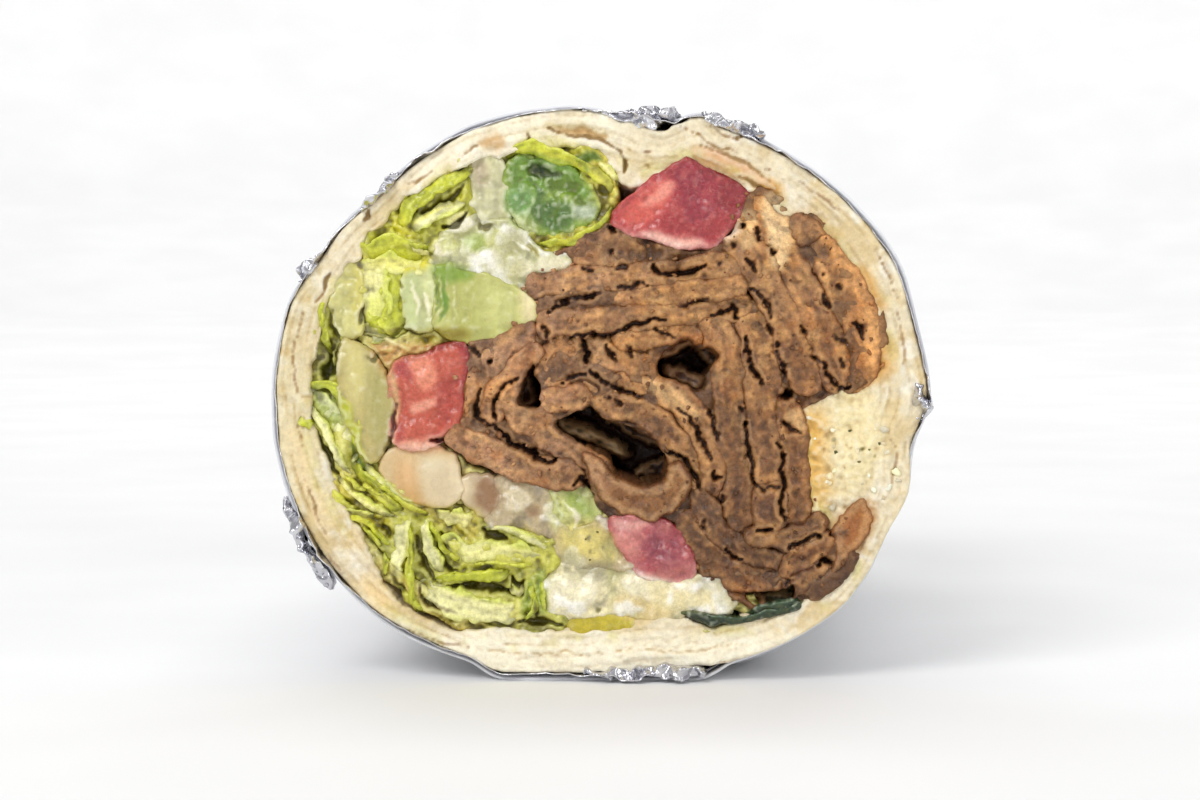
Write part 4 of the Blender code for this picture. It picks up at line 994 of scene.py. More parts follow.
CHUNKS = {  # finish, slot, colour, edge rounding, unevenness and height of the front in millimetres
    "tomato_top": ("tomato", "tomato", (164, 50, 54), 0.35, 0.35, 0.4),
    "tomato_left": ("tomato", "tomato", (188, 82, 60), 0.3, 0.4, 0.3),
    "tomato_bottom": ("tomato", "tomato", (178, 100, 98), 0.3, 0.4, 0.2),
    "tomato_core": ("firm", "tomato_core", (212, 190, 158), 0.35, 0.15, 0.0),
    "green_pepper": ("flesh", "green_pepper", (146, 174, 84), 0.3, 0.7, -0.2),
    "cucumber": ("firm", "cucumber", (184, 190, 120), 0.25, 0.3, 0.0),
    "onion_upper": ("firm", "onion", (208, 210, 186), 0.3, 0.5, -0.2),
    "onion_lower": ("firm", "onion", (194, 178, 158), 0.35, 0.15, 0.1),
    "cabbage_lower": ("flesh", "cabbage", (206, 214, 158), 0.35, 0.4, 0.1),
    "lettuce_rib_left": ("firm", "lettuce_rib", (188, 178, 124), 0.35, 0.25, 0.0),
    "lettuce_rib_upper": ("firm", "lettuce_rib", (202, 202, 146), 0.3, 0.45, -0.1),
    "lettuce_rib_inner": ("firm", "lettuce_rib", (204, 214, 172), 0.35, 0.3, 0.2),
    "pickle": ("flesh", "dark_pickle", (26, 46, 26), 0.4, 0.6, 0.1),
    "banana_pepper": ("flesh", "banana_pepper", (196, 184, 52), 0.35, 0.2, 0.0),
}


def make_chunks(finishes):
    seam = 0.15 * rough(251, GX, GZ, 2.4, 3) - 0.42
    for index, (name, (kind, slot, colour, rounding, uneven, raised)) in enumerate(CHUNKS.items()):
        field = room(name, 0.2 if name == "pickle" else 0.8, seam)
        proud = -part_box(name)[0].y / MM + FACE
        swell = 0.5 * np.sqrt(np.clip(-field, 0, 3) / 3) if uneven < 0.3 else 0
        front = proud + raised + swell + uneven * rough(201 + 7 * index, GX, GZ, 3.0, 4, 0.6) + RELIEF
        streaks = noise(901 + index, SX / 0.45, SZ / 5) + 0.5 * noise(921 + index, SX / 0.2, SZ / 3)
        colours = painted(colour, name, 1.0, min(uneven, 0.5)) * (1 + 0.14 * min(uneven, 0.4) * streaks[..., None])
        if kind == "tomato":
            low, high = OUTLINES[name][:, 1].min(), OUTLINES[name][:, 1].max()
            left, right = OUTLINES[name][:, 0].min(), OUTLINES[name][:, 0].max()
            rim = 1 - step(-field, 0.0, 1.0)
            own = blend(spread(colour), "wine", 0.5 * step(rough(241, WX, WZ, 3.2, 3, 0.5), 0.1, 0.8))
            own = own * (1 - COVER) + MARKS
            own = blend(own, (226, 132, 112), 0.25 * step(rough(246, WX + GZ, WZ - GX, 1.2, 4, 0.7), 0.2, 0.8))
            own = blend(own, "crimson", 0.7 * rim * step(GX + GZ, (left + right + low + high) / 2, right + high - 3))
            colours = blend(own, "shell", 0.5 * rim * step(GZ, low + 3, low + 1))
        carved = carve(field, front, (1.2, 3, 8, 30, ROLL_END - FACE), {"paint": colours}, rounding)
        add_piece("cut_" + name, carved, finishes[kind], [name])


def make_bed(finishes):
    """The small shreds and scraps that fill the gaps between the larger pieces."""
    zone = np.minimum.reduce([FIELDS[n] for n in SALAD_NAMES])
    meat = np.minimum.reduce([FIELDS[n] for n in MEAT_NAMES])
    bread = ring_field(smooth(BREAD_INNER, closed=True, steps=4), SX, SZ)
    field = np.maximum.reduce([zone - 3.0, bread - 0.3, 1.0 - meat])
    inside = np.minimum.reduce([room(n, 0.8, 0.0) for n in SALAD_NAMES])
    field = np.maximum(field, -1.0 - inside)
    field[(GX > 2) & (GZ > 48)] = FAR
    front = -0.7 + 0.7 * rough(331, GX, GZ, 2.2, 4, 0.6) + 0.6 * RELIEF - 4 * step(-inside, 0.0, 0.4)
    colours = painted((206, 200, 128), "bed")
    # slit colour where the bed sinks: painted shade
    colours = blend(colours, "slit", np.clip(-0.35 - 0.9 * rough(331, GX, GZ, 2.2, 4, 0.6), 0, 0.8))
    add_piece("salad_scraps", carve(field, front, (2, 6, 16), {"paint": colours}, 0.3), finishes["leaf"])


# Lettuce: strips of leaf over a smaller core. Look, half width, height, lean across the strip, and the middle line

SHREDS = {
    "lettuce_top": [
        ("leaf", 0.95, 0.5, 0.9, [(-15.8, 62.6), (-17.5, 61.3), (-20, 60.1), (-22.5, 58.6), (-23.8, 57), (-24.3, 55)]),
        ("pale", 0.8, 0.2, 0.6, [(-16.2, 59.2), (-18.6, 57.9), (-21.2, 56.6), (-23.2, 55.4)]),
        ("leaf", 1.3, 0.3, 0.9, [(-29.8, 52), (-27, 53), (-24, 53), (-20.2, 52.4)]),
        ("pale", 1.2, 0.4, 0.7, [(-29.4, 50.6), (-26, 51.2), (-22.6, 50.8), (-20, 50.6)]),
        ("pale", 1.6, 0.2, 0.9, [(-27.8, 51.4), (-27.4, 48.4), (-27.2, 45.4), (-27.8, 42.6)]),
        ("leaf", 1.4, 0.3, -0.8, [(-25.2, 51), (-25.4, 48), (-25.4, 45), (-24.6, 42.6)]),
        ("leaf", 0.9, 0.1, 0.6, [(-28.6, 44.8), (-26.8, 43.8), (-24.6, 43.4)]),
        ("pale", 0.4, 0.6, 0.2, [(-24.2, 54.4), (-22.6, 53), (-20.4, 52)]),
        ("leaf", 0.35, 0.7, 0.1, [(-25.6, 55.4), (-24.8, 53.8), (-23, 53.4), (-21, 53)]),
    ],
    "lettuce_crown": [
        ("leaf", 0.8, 0.6, 0.6, [(-11.4, 64.4), (-9.5, 65), (-6.5, 64.7), (-3.5, 63.7), (-1, 62.3), (0.8, 60.7),
                                 (1.6, 59.3)]),
        ("leaf", 0.5, 0.3, 0.3, [(-7.4, 53.2), (-5, 53.6), (-1.5, 54.7), (0.4, 56.3), (1.2, 58)]),
        ("pale", 0.5, 0.2, 0.3, [(-0.4, 63.6), (0.8, 62.4), (1.6, 61)]),
    ],
    "lettuce_left": [
        ("leaf", 0.45, 0.5, 0.3, [(-33.5, 46.9), (-34.2, 44.7), (-33.6, 43), (-33, 40.6)]),
        ("pale", 1.6, 0.1, 0.9, [(-35, 35), (-33.4, 34), (-31.9, 32.2), (-31.3, 29.8), (-30.6, 27.6)]),
        ("leaf", 0.75, 0.7, 0.4, [(-35.8, 36), (-33.4, 36.4), (-31.5, 35), (-30, 32), (-29.2, 29), (-28, 26.6)]),
        ("pale", 0.6, 0.2, 0.4, [(-35.9, 33.5), (-34.2, 31.8), (-33, 29.5), (-32, 27), (-30.6, 25)]),
        ("leaf", 0.5, 0.6, 0.2, [(-37, 32.2), (-36, 31.3), (-35.1, 31.6)]),
        ("leaf", 0.8, 0.2, 0.6, [(-30.4, 26.4), (-28, 24), (-26, 22), (-24, 20.6)]),
        ("pale", 0.7, 0.4, 0.3, [(-28.5, 26.2), (-26.6, 24.2), (-24, 22.5), (-21.5, 21.4)]),
        ("leaf", 0.5, 0.2, 0.3, [(-33, 23.2), (-31.4, 21.8), (-29.8, 20.9)]),
        ("leaf", 0.3, 0.8, 0.1, [(-29.2, 26), (-26.5, 23.8), (-24.8, 22.2), (-23, 21.2), (-21, 20.4)]),
        ("leaf", 0.3, 0.6, 0.1, [(-29.4, 24.6), (-27.2, 22.8), (-25, 21.4)]),
        ("pale", 0.4, 0.4, 0.2, [(-32.4, 24.8), (-30.6, 23.4), (-29, 22), (-27.2, 20.8), (-25.4, 20)]),
        ("leaf", 0.25, 0.7, 0.1, [(-31.8, 25.6), (-30, 24.2), (-28.4, 23)]),
        ("pale", 0.5, 0.1, 0.3, [(-32.6, 21.2), (-30, 20.4), (-27.6, 19.8)]),
    ],
    "lettuce_bottom": [
        ("leaf", 0.4, 0.6, 0.3, [(-31, 20), (-28.5, 19), (-27, 17.6), (-26, 16.2)]),
        ("leaf", 0.25, 0.7, 0.1, [(-29.4, 18.6), (-28, 17.6), (-27, 16.2)]),
        ("pale", 1.4, 0.3, 0.9, [(-24.2, 20), (-24.3, 17.5), (-24.8, 15), (-25, 13.4)]),
        ("leaf", 0.35, 0.7, 0.2, [(-23.4, 20), (-23.2, 16.6), (-23.4, 13.2), (-23.2, 10.5), (-22.6, 8.4)]),
        ("pale", 0.7, 0.4, 0.5, [(-21.9, 20), (-21.2, 17.5), (-20.4, 15.4), (-19.4, 13.4)]),
        ("leaf", 0.3, 0.8, 0.1, [(-21.2, 20.2), (-19.8, 17.6), (-18.8, 15.8), (-17.2, 14.8)]),
        ("pale", 1.7, 0.3, 1.0, [(-18, 16.6), (-14.5, 15.8), (-11, 15.4), (-8, 15)]),
        ("pale", 0.9, 0.3, 0.5, [(-20.3, 20.6), (-17.6, 20.2), (-15.4, 19.6)]),
        ("leaf", 0.5, 0.7, 0.3, [(-20.6, 12.6), (-18.6, 12.8), (-16, 12.8), (-12.5, 12.9), (-10.8, 13.5)]),
        ("pale", 0.5, 0.4, 0.2, [(-11.2, 11.6), (-10, 10.9), (-9.3, 11.8)]),
        ("pale", 1.7, 0.5, 0.8, [(-21.6, 11.8), (-19.6, 10.4), (-16.5, 9.2), (-13, 8.6), (-9.8, 8.5)]),
        ("leaf", 0.35, 0.1, 0.2, [(-24.6, 11.4), (-23, 9.6), (-21.6, 8.4)]),
        ("leaf", 0.35, 0.6, 0.1, [(-9.4, 7.8), (-8.4, 8.7), (-7.9, 10), (-8.2, 12)]),
        ("leaf", 0.3, 0.4, 0.1, [(-7.2, 12.6), (-6.9, 10.4), (-7.2, 8.6)]),
        ("leaf", 0.3, 0.4, 0.2, [(-26.8, 15.8), (-26.3, 14.6), (-26.4, 13)]),
        ("pale", 0.5, 0.5, 0.2, [(-14, 18.9), (-10.6, 18.2), (-7.6, 17.2), (-6, 16)]),
        ("leaf", 0.22, 0.8, 0.1, [(-16, 14.2), (-13, 14.3), (-10.4, 14.1), (-8, 14.4)]),
    ],
}


def shred(half, height, lean, points, seed):
    """One strip of leaf: uneven in width, leaning across, with a raised rim along its high side."""
    where, off, along, side = line_field(smooth(points), SX, SZ, half + 1.5)
    taper = 0.45 + 0.55 * np.sqrt(np.sin(math.pi * np.clip(along, 0.02, 0.98)))
    width = half * (taper + 0.35 * noise(seed, along * 5, side) + 0.2 * noise(seed + 7, along * 14, side))
    field = np.full(GX.shape, FAR)
    field[where] = off - width
    across = np.zeros(GX.shape)
    across[where] = off * side / half
    streak = np.zeros(GX.shape)
    streak[where] = noise(seed + 5, off * side / 0.35, along * 3) + 0.6 * noise(seed + 6, off * side / 0.18, along * 5)
    ends = np.zeros(GX.shape)
    ends[where] = 1 - np.clip(5 * np.minimum(along, 1 - along), 0, 1)
    ruffle = 0.3 * rough(seed + 1, GX, GZ, 2.0, 4, 0.6) + 0.06 * streak - (height + 0.7) * ends**1.5
    front = height + lean * across / 2 + 0.3 * np.clip(across * np.sign(lean), 0, 1) ** 3 + ruffle
    rim = step(across * np.sign(lean), 0.35, 0.95) + 0.4 * step(-across * np.sign(lean), 0.6, 1.0)
    return field, front, np.clip(rim, 0, 1), streak


def make_lettuce(finishes):
    looks = {"leaf": ((182, 190, 52), (206, 210, 66)), "pale": ((232, 232, 180), (204, 212, 84))}
    bases = {"lettuce_top": (192, 194, 78), "lettuce_crown": (208, 204, 96), "lettuce_left": (190, 192, 92),
             "lettuce_bottom": (196, 198, 108)}
    for number, (bed, strips) in enumerate(SHREDS.items()):
        field = room(bed, 0.8, -0.3)
        uneven = rough(301 + number, GX, GZ, 2.4, 4, 0.6)
        front = -0.45 + 0.6 * uneven + RELIEF
        # slit colour where the core sinks: painted shade
        colours = blend(painted(bases[bed], bed) * [0.94, 0.95, 0.76], "slit", np.clip(-0.2 - 1.3 * uneven, 0, 0.8))
        carved = carve(field, front, (3, 8, 30, ROLL_END - FACE), {"paint": colours}, 0.5)
        add_piece(bed + "_core", carved, finishes["leaf"], [bed])
        made = {}
        for index, (look, half, height, lean, points) in enumerate(strips):
            field, front, rim, streak = shred(half, height, lean, points, 1000 + 100 * number + 11 * index)
            middle, edge = looks[look]
            colours = 0.55 * painted(middle, look, 0.8) + 0.45 * spread(middle)
            colours = blend(colours * (1 + 0.1 * streak[..., None]), edge, 0.8 * rim)
            # darker where the strip dips back: painted shade
            colours = colours * (1.03 - 0.3 * step(front, 0.2, -0.5))[..., None]
            part = carve(field, front, (1.2, 3, 6), {"paint": colours}, 0.25)
            if part:
                made.setdefault(look, []).append(part)
        for look, parts in made.items():
            add_piece(f"{bed}_{look}_strips", join(parts), finishes["leaf"])


def make_sauce(finishes):
    for number, name in enumerate(("sauce_top", "sauce_middle", "sauce_bottom")):
        field = room(name, 1.0, -0.35)
        blobs = 0.55 * rough(401 + 9 * number, GX, GZ, 3.4, 2, 0.4) + 0.6 * (crumple(431, SX, SZ, 4, 2) - 0.5)
        front = -0.1 + blobs + RELIEF
        white = ((192, 196, 164), (182, 168, 146), (224, 220, 196))[number]
        lumps = step(rough(411 + number, GX, GZ, 3.0, 3, 0.5), (0.1, 0.2, -0.1)[number], 0.5)
        colours = blend(painted(white, name, 0.85), (250, 247, 238), (0.85, 0.45, 0.85)[number] * lumps)
        front = front + 0.15 * lumps
        # olive-grey where the sauce sinks between its blobs: painted shade
        colours = blend(colours, (170, 166, 104), np.clip(-0.15 - 1.3 * blobs, 0, 0.85))
        carved = carve(field, front, (2, 5, 20, ROLL_END - FACE), {"paint": colours}, 0.5)
        add_piece("poured_" + name, carved, finishes["sauce"], [name])


def make_pickle_scraps(finishes):
    """The dark strip goes on past the solid one, under the last slices."""
    parts = []
    for index, (half, height, points) in enumerate([
            (0.5, 0.5, [(9.6, 8.9), (13, 8.2), (17, 7.7), (20.6, 8.4), (23.6, 9.1), (26.4, 9.9)]),
            (0.4, 0.9, [(17.8, 8.4), (20.4, 9.1), (23, 9.7), (24.8, 10.2)])]):
        field, front, rim, streak = shred(half, height, 0.3, points, 1500 + 11 * index)
        # lighter along the raised rim, a painted highlight, and along its streaks
        colours = blend(spread((26, 48, 28)), (112, 138, 98), 0.4 * rim + 0.2 * np.clip(streak, 0, 1))
        parts.append(carve(field, front, (1.2, 3, 6), {"paint": colours}, 0.25))
    add_piece("pickle_scraps", join(parts), finishes["flesh"])


# Bits: crumbs, spice specks and herbs lying on the cut face


def make_bits(name, finish, seed, count, sizes, colours, where, flat=1.0):
    """Small uneven lumps of one kind on the cut face, scattered over the places where there is room for them."""
    rng = np.random.default_rng(seed)
    ball = bmesh.new()
    bmesh.ops.create_icosphere(ball, subdivisions=2, radius=1.0)
    points = np.array([v.co for v in ball.verts])
    triangles = np.array([[v.index for v in f.verts] for f in ball.faces])
    ball.free()
    rows, columns = np.nonzero(where)
    chosen = rng.choice(len(rows), count, replace=False)
    vertices, faces, paint = [], [], []
    for number, (row, column) in enumerate(zip(rows[chosen], columns[chosen])):
        size = rng.uniform(*sizes)
        lump = points * (1 + 0.5 * noise(seed + 1, 1.6 * points[:, 0] + number, 1.6 * points[:, 2] + 7 * number))[:, None]
        turn = rng.uniform(0, math.pi)
        lump = lump * rng.uniform(0.6, 1.3, 3) * (size, flat * size, size)
        x = lump[:, 0] * math.cos(turn) - lump[:, 2] * math.sin(turn)
        z = lump[:, 0] * math.sin(turn) + lump[:, 2] * math.cos(turn)
        place = (GX[row, column], -SURFACE[row, column] - 0.1 * size, GZ[row, column])
        vertices.append(np.stack([x, lump[:, 1], z], axis=1) + place)
        faces.append(triangles + number * len(points))
        colour = (colours[row, column] if isinstance(colours, np.ndarray) else np.array(colours[number % len(colours)]))
        colour = colour * rng.uniform(0.85, 1.15)
        paint.append(np.repeat(colour[None], len(points), axis=0))
    values = {"paint": np.vstack(paint), "cave": np.full(count * len(points), 0.5)}
    add_piece(name, (np.vstack(vertices), np.vstack(faces).tolist(), values), finish)


def make_all_bits(finishes):
    meat = np.minimum.reduce([FIELDS[n] for n in MEAT_NAMES])
    shown = SURFACE > -1.2
    make_bits("meat_crumbs", finishes["meat"], 1601, 380, (0.1, 0.3), meat_colours() * 0.96,
              shown & (meat < 0.2), 0.7)
    make_bits("loose_meat_crumbs", finishes["meat"], 1611, 50, (0.14, 0.4), meat_colours(),
              shown & (meat > 0.2) & (meat < 1.2), 0.7)
    make_bits("spice_specks", finishes["meat"], 1621, 50, (0.08, 0.18), [(92, 48, 22), (120, 62, 26)],
              shown & (meat < 0), 0.5)
    herbs = (np.hypot(GX - 31.5, GZ - 28.5) < 3.4) | (np.hypot(GX + 1, GZ - 16.5) < 2.4)
    make_bits("herb_specks", finishes["leaf"], 1631, 9, (0.12, 0.32), [(84, 90, 40), (110, 100, 50)],
              shown & herbs, 0.4)
    lobe = (GX > 24.5) & (np.hypot(GX - 30, GZ - 28) < 7) & (meat > 0.6)
    make_bits("bread_crumbs", finishes["bread"], 1641, 24, (0.16, 0.45),
              [(246, 236, 206), (240, 222, 182)], shown & lobe, 0.5)


# Flatbread: outer and inner edge of the rolled sheet at the cut

BREAD_OUTER = [
    (-3.5, 69.4), (2.2, 68.5), (7, 67), (10.4, 68.3), (13.9, 68.2), (19.7, 66.2), (25.5, 62.4), (30.8, 57.2),
    (35.4, 50.8), (37.7, 43.2), (39.3, 35.1), (37.3, 29), (36.6, 23.5), (34.2, 18.9), (31.3, 13.1), (25.5, 6.6),
    (19.7, 4), (11, 2.6), (-0.6, 2), (-8.1, 2), (-15.1, 2.8), (-22.1, 4.3), (-26.7, 6.4), (-30.8, 10.2), (-33.7, 13.4),
    (-36.6, 20), (-38.7, 26.4), (-39.3, 35.1), (-38.7, 40.9), (-37.1, 46.7), (-34.2, 50.8), (-30.8, 55.4),
    (-26.7, 58.9), (-22.1, 63), (-16.3, 66.5), (-11.6, 68.8),
]
BREAD_INNER = [
    (-16, 64), (-12, 66), (-8, 66.2), (-4, 65.5), (2.5, 63.5), (4, 61.6), (8, 63.3), (12, 64.5), (18, 61.5), (21, 60.5),
    (23, 58), (28, 55), (31, 50), (34, 47), (35, 42), (34.5, 38), (32, 36), (28, 33.5), (25.3, 31.4), (25.3, 26),
    (26, 22.5), (28.5, 20.5), (30.5, 21), (32, 22.5), (33.3, 21), (33, 18), (31.5, 14), (28, 10.5), (25, 8.7),
    (18, 6.8), (5, 6), (-5, 5), (-12, 4.7), (-18, 4.5), (-22.4, 6.4), (-25.8, 8.8), (-28.4, 12.4), (-31, 18), (-33, 21),
    (-35, 26), (-36.5, 32), (-35.5, 38), (-34, 44), (-33, 47), (-32, 51.5), (-29.3, 53.5), (-27, 55.5),
    (-25.5, 57.5), (-24, 59), (-20, 61.5),
]
BREAD_PATCHES = [
    ("beige", 0.8, -0.3, [(-6.4, 67.8), (-3, 67.9), (0.6, 67), (0.8, 66.2), (-2, 66.5), (-4.4, 67)]),
    ("tan", 0.5, -0.4, [(-5, 67.4), (-2.4, 67.3), (0.6, 66.6), (0.4, 66), (-2, 66.3), (-4, 66.9)]),
    ("tan", 0.8, 0.0, [(-14.6, 66), (-12.6, 66.6), (-11.8, 65.4), (-13.6, 65)]),
    ((232, 184, 98), 2.0, 0.1, [(24, 33), (27.4, 32.6), (27.4, 26), (26.6, 22), (25, 22.4), (24, 28)]),
    ((242, 226, 178), 2.0, 0.2, [(28, 34), (33, 35), (34.4, 28), (31, 23.6), (29, 24)]),
    ((238, 212, 160), 1.6, 0.0, [(-29.4, 12), (-27, 12.6), (-24.8, 9), (-27, 8)]),
    ((236, 214, 168), 1.4, 0.0, [(-38, 30), (-36.6, 30), (-35, 24), (-33, 20), (-34.6, 19), (-37, 24)]),
    ("tan", 1.6, 0.0, [(24.4, 57.4), (28.6, 54.6), (28, 52.4), (24.4, 54)]),
    ((238, 180, 134), 0.5, 0.7, [(11.4, 64.8), (14, 64.9), (17, 63.2), (20, 61.2), (21, 59.8), (18.6, 60.6), (15, 62.2),
                                 (12, 63.6)]),
    ("toast", 1.0, -0.1, [(18.8, 60.8), (21.2, 60.9), (21.8, 59.4), (19.6, 59.2)]),
    ("tan", 1.2, 0.0, [(11.2, 65), (15, 63.6), (18, 61.8), (16, 61.4), (12.4, 63)]),
    ((176, 120, 66), 1.0, 0.2, [(28, 18.5), (29.5, 20.5), (31.5, 22), (33, 22), (33, 20), (32, 17.6), (30, 14.6)]),
    ("toast", 1.4, 0.0, [(33.6, 42), (35.2, 42), (34.8, 38), (33, 36.8)]),
    ("toast", 1.2, 0.0, [(31.6, 50.6), (33.4, 48.4), (34.2, 46), (32.6, 46.4)]),
]
# lines on the bread: the dark ones, cut in, are painted shade in the gaps between its layers and under its curl
BREAD_LINES = [
    ("umber", 0.14, -0.7, [(-6, 67.5), (-3.6, 66.6), (-1.6, 66.1), (0.6, 65.8), (2, 65), (3, 64.2)]),
    ("umber", 0.3, -1.2, [(3.1, 64), (3.3, 63.2), (3.2, 62.2)]),
    ("umber", 0.24, -0.6, [(-33.9, 47.8), (-33.4, 49), (-32.8, 50)]),
    ("cocoa", 0.14, -0.4, [(-34.8, 46.4), (-33.8, 47.8)]),
    ("umber", 0.26, -0.7, [(-29, 56), (-28.4, 56.8), (-27.8, 57.6)]),
    ("cocoa", 0.12, -0.4, [(-28.4, 54), (-27.4, 55)]),
    ("bark", 0.1, -0.4, [(-23.4, 60.6), (-22, 61.4), (-20.4, 62.4)]),
    ("bark", 0.09, -0.4, [(-17, 64), (-15.8, 65), (-14.4, 65.6)]),
    ("umber", 0.2, -0.7, [(-8.9, 66.7), (-8.7, 66), (-9, 65.4)]),
    ("bark", 0.1, -0.5, [(10, 67.6), (12, 66.8), (13.5, 65.5), (17, 64.2)]),
    ("bark", 0.1, -0.4, [(13.5, 67.8), (15.5, 66.5), (17, 66.2)]),
    ("umber", 0.16, -0.7, [(16.6, 66.3), (18.4, 66.5), (20, 66.2)]),
    ("cocoa", 0.12, -0.3, [(5.4, 64.6), (6.4, 64.5)]),
    ("bark", 0.14, -0.6, [(12, 65.4), (15, 64.4), (18, 62.8), (20.6, 60.8)]),
    ("cocoa", 0.16, -0.7, [(16.6, 61.6), (18.4, 60.8), (19.6, 59.8)]),
    ("cocoa", 0.12, -0.3, [(5.6, 62.8), (6.3, 62.8)]),
    ("cocoa", 0.12, -0.3, [(19.6, 62.7), (20.4, 62.5)]),
    ("bark", 0.09, -0.4, [(-37.2, 42), (-37.5, 38), (-37.2, 34)]),
    ("bark", 0.08, -0.4, [(-36.6, 45.4), (-36.9, 42.4)]),
    ("bark", 0.08, -0.3, [(-37, 31.6), (-36.6, 28.6)]),
    ("bark", 0.09, -0.4, [(-36.4, 24.6), (-35, 21), (-33.4, 18)]),
    ("bark", 0.08, -0.3, [(-33.4, 15.4), (-31.4, 12.8)]),
    ("bark", 0.09, -0.4, [(35.2, 30), (36, 27), (35.4, 24)]),
    ("bark", 0.09, -0.4, [(33.4, 53), (35, 50), (36, 47)]),
    ("bark", 0.08, -0.3, [(35.8, 45.6), (36.6, 42), (36.8, 39)]),
    ("bark", 0.08, -0.3, [(24, 61), (26.6, 59.4), (29, 57.4)]),
    ((214, 190, 146), 0.08, -0.3, [(-14, 3.9), (-8, 3.4), (0, 3.4)]),
    ((214, 190, 146), 0.08, -0.3, [(2, 4), (10, 3.8), (18, 4.9)]),
    ("bark", 0.08, -0.3, [(-24, 6.4), (-20, 4.9), (-16, 4)]),
    ("slit", 0.2, 0.1, [(31, 28.4), (31.5, 28.7), (31.9, 29)]),
    ("slit", 0.16, 0.1, [(33, 27.3), (33.4, 27.6)]),
    ("slit", 0.16, 0.1, [(28.2, 29.7), (28.4, 30.2)]),
    ("slit", 0.14, 0.1, [(33.8, 29), (34.2, 29.2)]),
    ("tan", 0.3, -0.4, [(25, 30.6), (24.9, 28), (24.6, 25), (25.2, 22.8)]),
]


def make_bread(finish):
    angles = np.arange(0, 360, 2.0)
    round_ring = np.stack(wrapper_section(0, 0.36 + 0.55 * tucked(angles), angles), axis=1)
    notch = step(GX, -1, 1) * step(GX, 12, 10) * step(GZ, 62, 64)
    grown = 1.3 - 1.1 * notch - 0.5 * step(GX, -3, 0) * step(GX, 19, 16) * step(GZ, 10, 6)
    outer = np.maximum(ring_field(smooth(BREAD_OUTER, closed=True), SX, SZ) - grown, ring_field(round_ring, GX, GZ))
    inner = ring_field(smooth(BREAD_INNER, closed=True, steps=4), WX, WZ)
    nearest = np.minimum.reduce([FIELDS[n] for n in FILLINGS])
    slack = np.maximum.reduce([0.4 - nearest, -inner - 1.6])
    field = np.maximum(outer, np.minimum(-inner, slack))
    angle = np.arctan2(GZ - 35, GX)
    wander = 0.35 * rough(501, 7 * angle, outer / 2, 3, 3)
    layers = -outer / 1.15 + wander
    number = np.floor(layers)
    share = step(layers - number, 0.7, 1.0)
    lower = noise(503, 6 * angle + 7.7 * number, 1.3 * number)
    upper = noise(503, 6 * angle + 7.7 * (number + 1), 1.3 * (number + 1))
    sheets = 0.32 * (lower * (1 - share) + upper * share)
    fine = 0.07 * noise(507, 14 * angle, -outer / 0.3 + 2 * wander)
    puff = 0.3 * rough(511, GX, GZ, 4, 5, 0.6)
    lobe = step(GX, 23, 26) * step(GX, 36, 31) * step(GZ, 18, 22) * step(GZ, 37, 32)
    base = blend(spread((234, 221, 190)), (224, 202, 156), step(rough(521, GX, GZ, 4.5, 4, 0.65), -0.1, 0.8))
    base = blend(base, (242, 234, 214), step(rough(523, WX, WZ, 2.4, 4, 0.65), 0.1, 0.9))
    base = blend(base, (212, 190, 146), 0.4 * step(rough(527, WX, WZ, 1.2, 4, 0.7), 0.5, 1.1))
    # darker tan where both neighbouring sheets sink: painted shade
    base = blend(base, (214, 190, 140), 0.5 * step(-upper - lower, 0.3, 1.2))
    # painted light: the bread brighter along the bottom and at the upper left, cancelling the shade that falls there
    bright = np.maximum(step(GZ, 7.5, 5), 0.8 * step(GZ, 59, 62) * step(GX, 6, 0))
    base = blend(base, (255, 247, 224), 0.8 * bright)
    base = base * (1 - (step(GX, -33, -35) * (1 - bright))[..., None] * np.array([0.04, 0.05, 0.1]))
    gaps = share * (1 - step(layers - number, 0.95, 1.0)) * (noise(531, 12 * angle, outer) > 0.05)
    # darker brown in the gaps between layers, which are also cut in: painted shade
    base = blend(base, (188, 158, 104), 0.4 * gaps * (1 - lobe) * (1 - 0.7 * bright))
    colours, relief = paint_patches(base, np.zeros(GX.shape), BREAD_PATCHES, WX, WZ)
    colours, relief = paint_lines(colours, relief, BREAD_LINES, WX, WZ)
    near_inner = np.clip(1 - np.abs(inner) / 1.2, 0, 1) * step(rough(525, GX, GZ, 4, 3), 0.0, 0.6)
    colours = blend(colours, "honey", 0.5 * near_inner)
    front = 0.1 + (sheets + fine - 0.2 * gaps) * (1 - lobe) + puff + relief
    fluff = 0.9 * crumple(541, WX, WZ + 0.4 * WX, 5.0) + 0.35 * rough(543, WX, WZ, 1.2, 3, 0.6)
    front = front + lobe * (0.35 * np.clip(-field, 0, 2) + fluff - 0.5)
    carved = carve(field, front, (1.5, 4, 10, 30, ROLL_END - FACE), {"paint": colours}, 0.35)
    add_piece("rolled_flatbread", carved, finish, ["flatbread"])


# Wrapper and its foil lining: the roll's outline at the cut, which settles into the plain roll behind it

BREAD_LOW, BREAD_HIGH = (v.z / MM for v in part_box("flatbread"))
ROLL_HALF_WIDTH = 39.4
MIDDLE = (BREAD_LOW + BREAD_HIGH) / 2
HALF_HEIGHT = (BREAD_HIGH - BREAD_LOW) / 2
ROLL_LENGTH = 99.0
TAPER = 0.93
LENGTH = 131.0
SHOULDER, HEEL = 114.0, 99.0
NOSE_HEIGHT, NOSE_HALF_WIDTH, NOSE_THICKNESS = 17.5, 30.0, 2.2
FLAP_LENGTH, FLAP_SLOPE, FLAP_TURN = 11.6, 50.0, 1.9
WRAPPED = 1.39  # from the bread to the outside of the paper
PAPER_AROUND = 300


def bump(angle, middle, height, half_width):
    off = (angle - middle + 180) % 360 - 180
    return height * np.exp(-((off / half_width) ** 2))


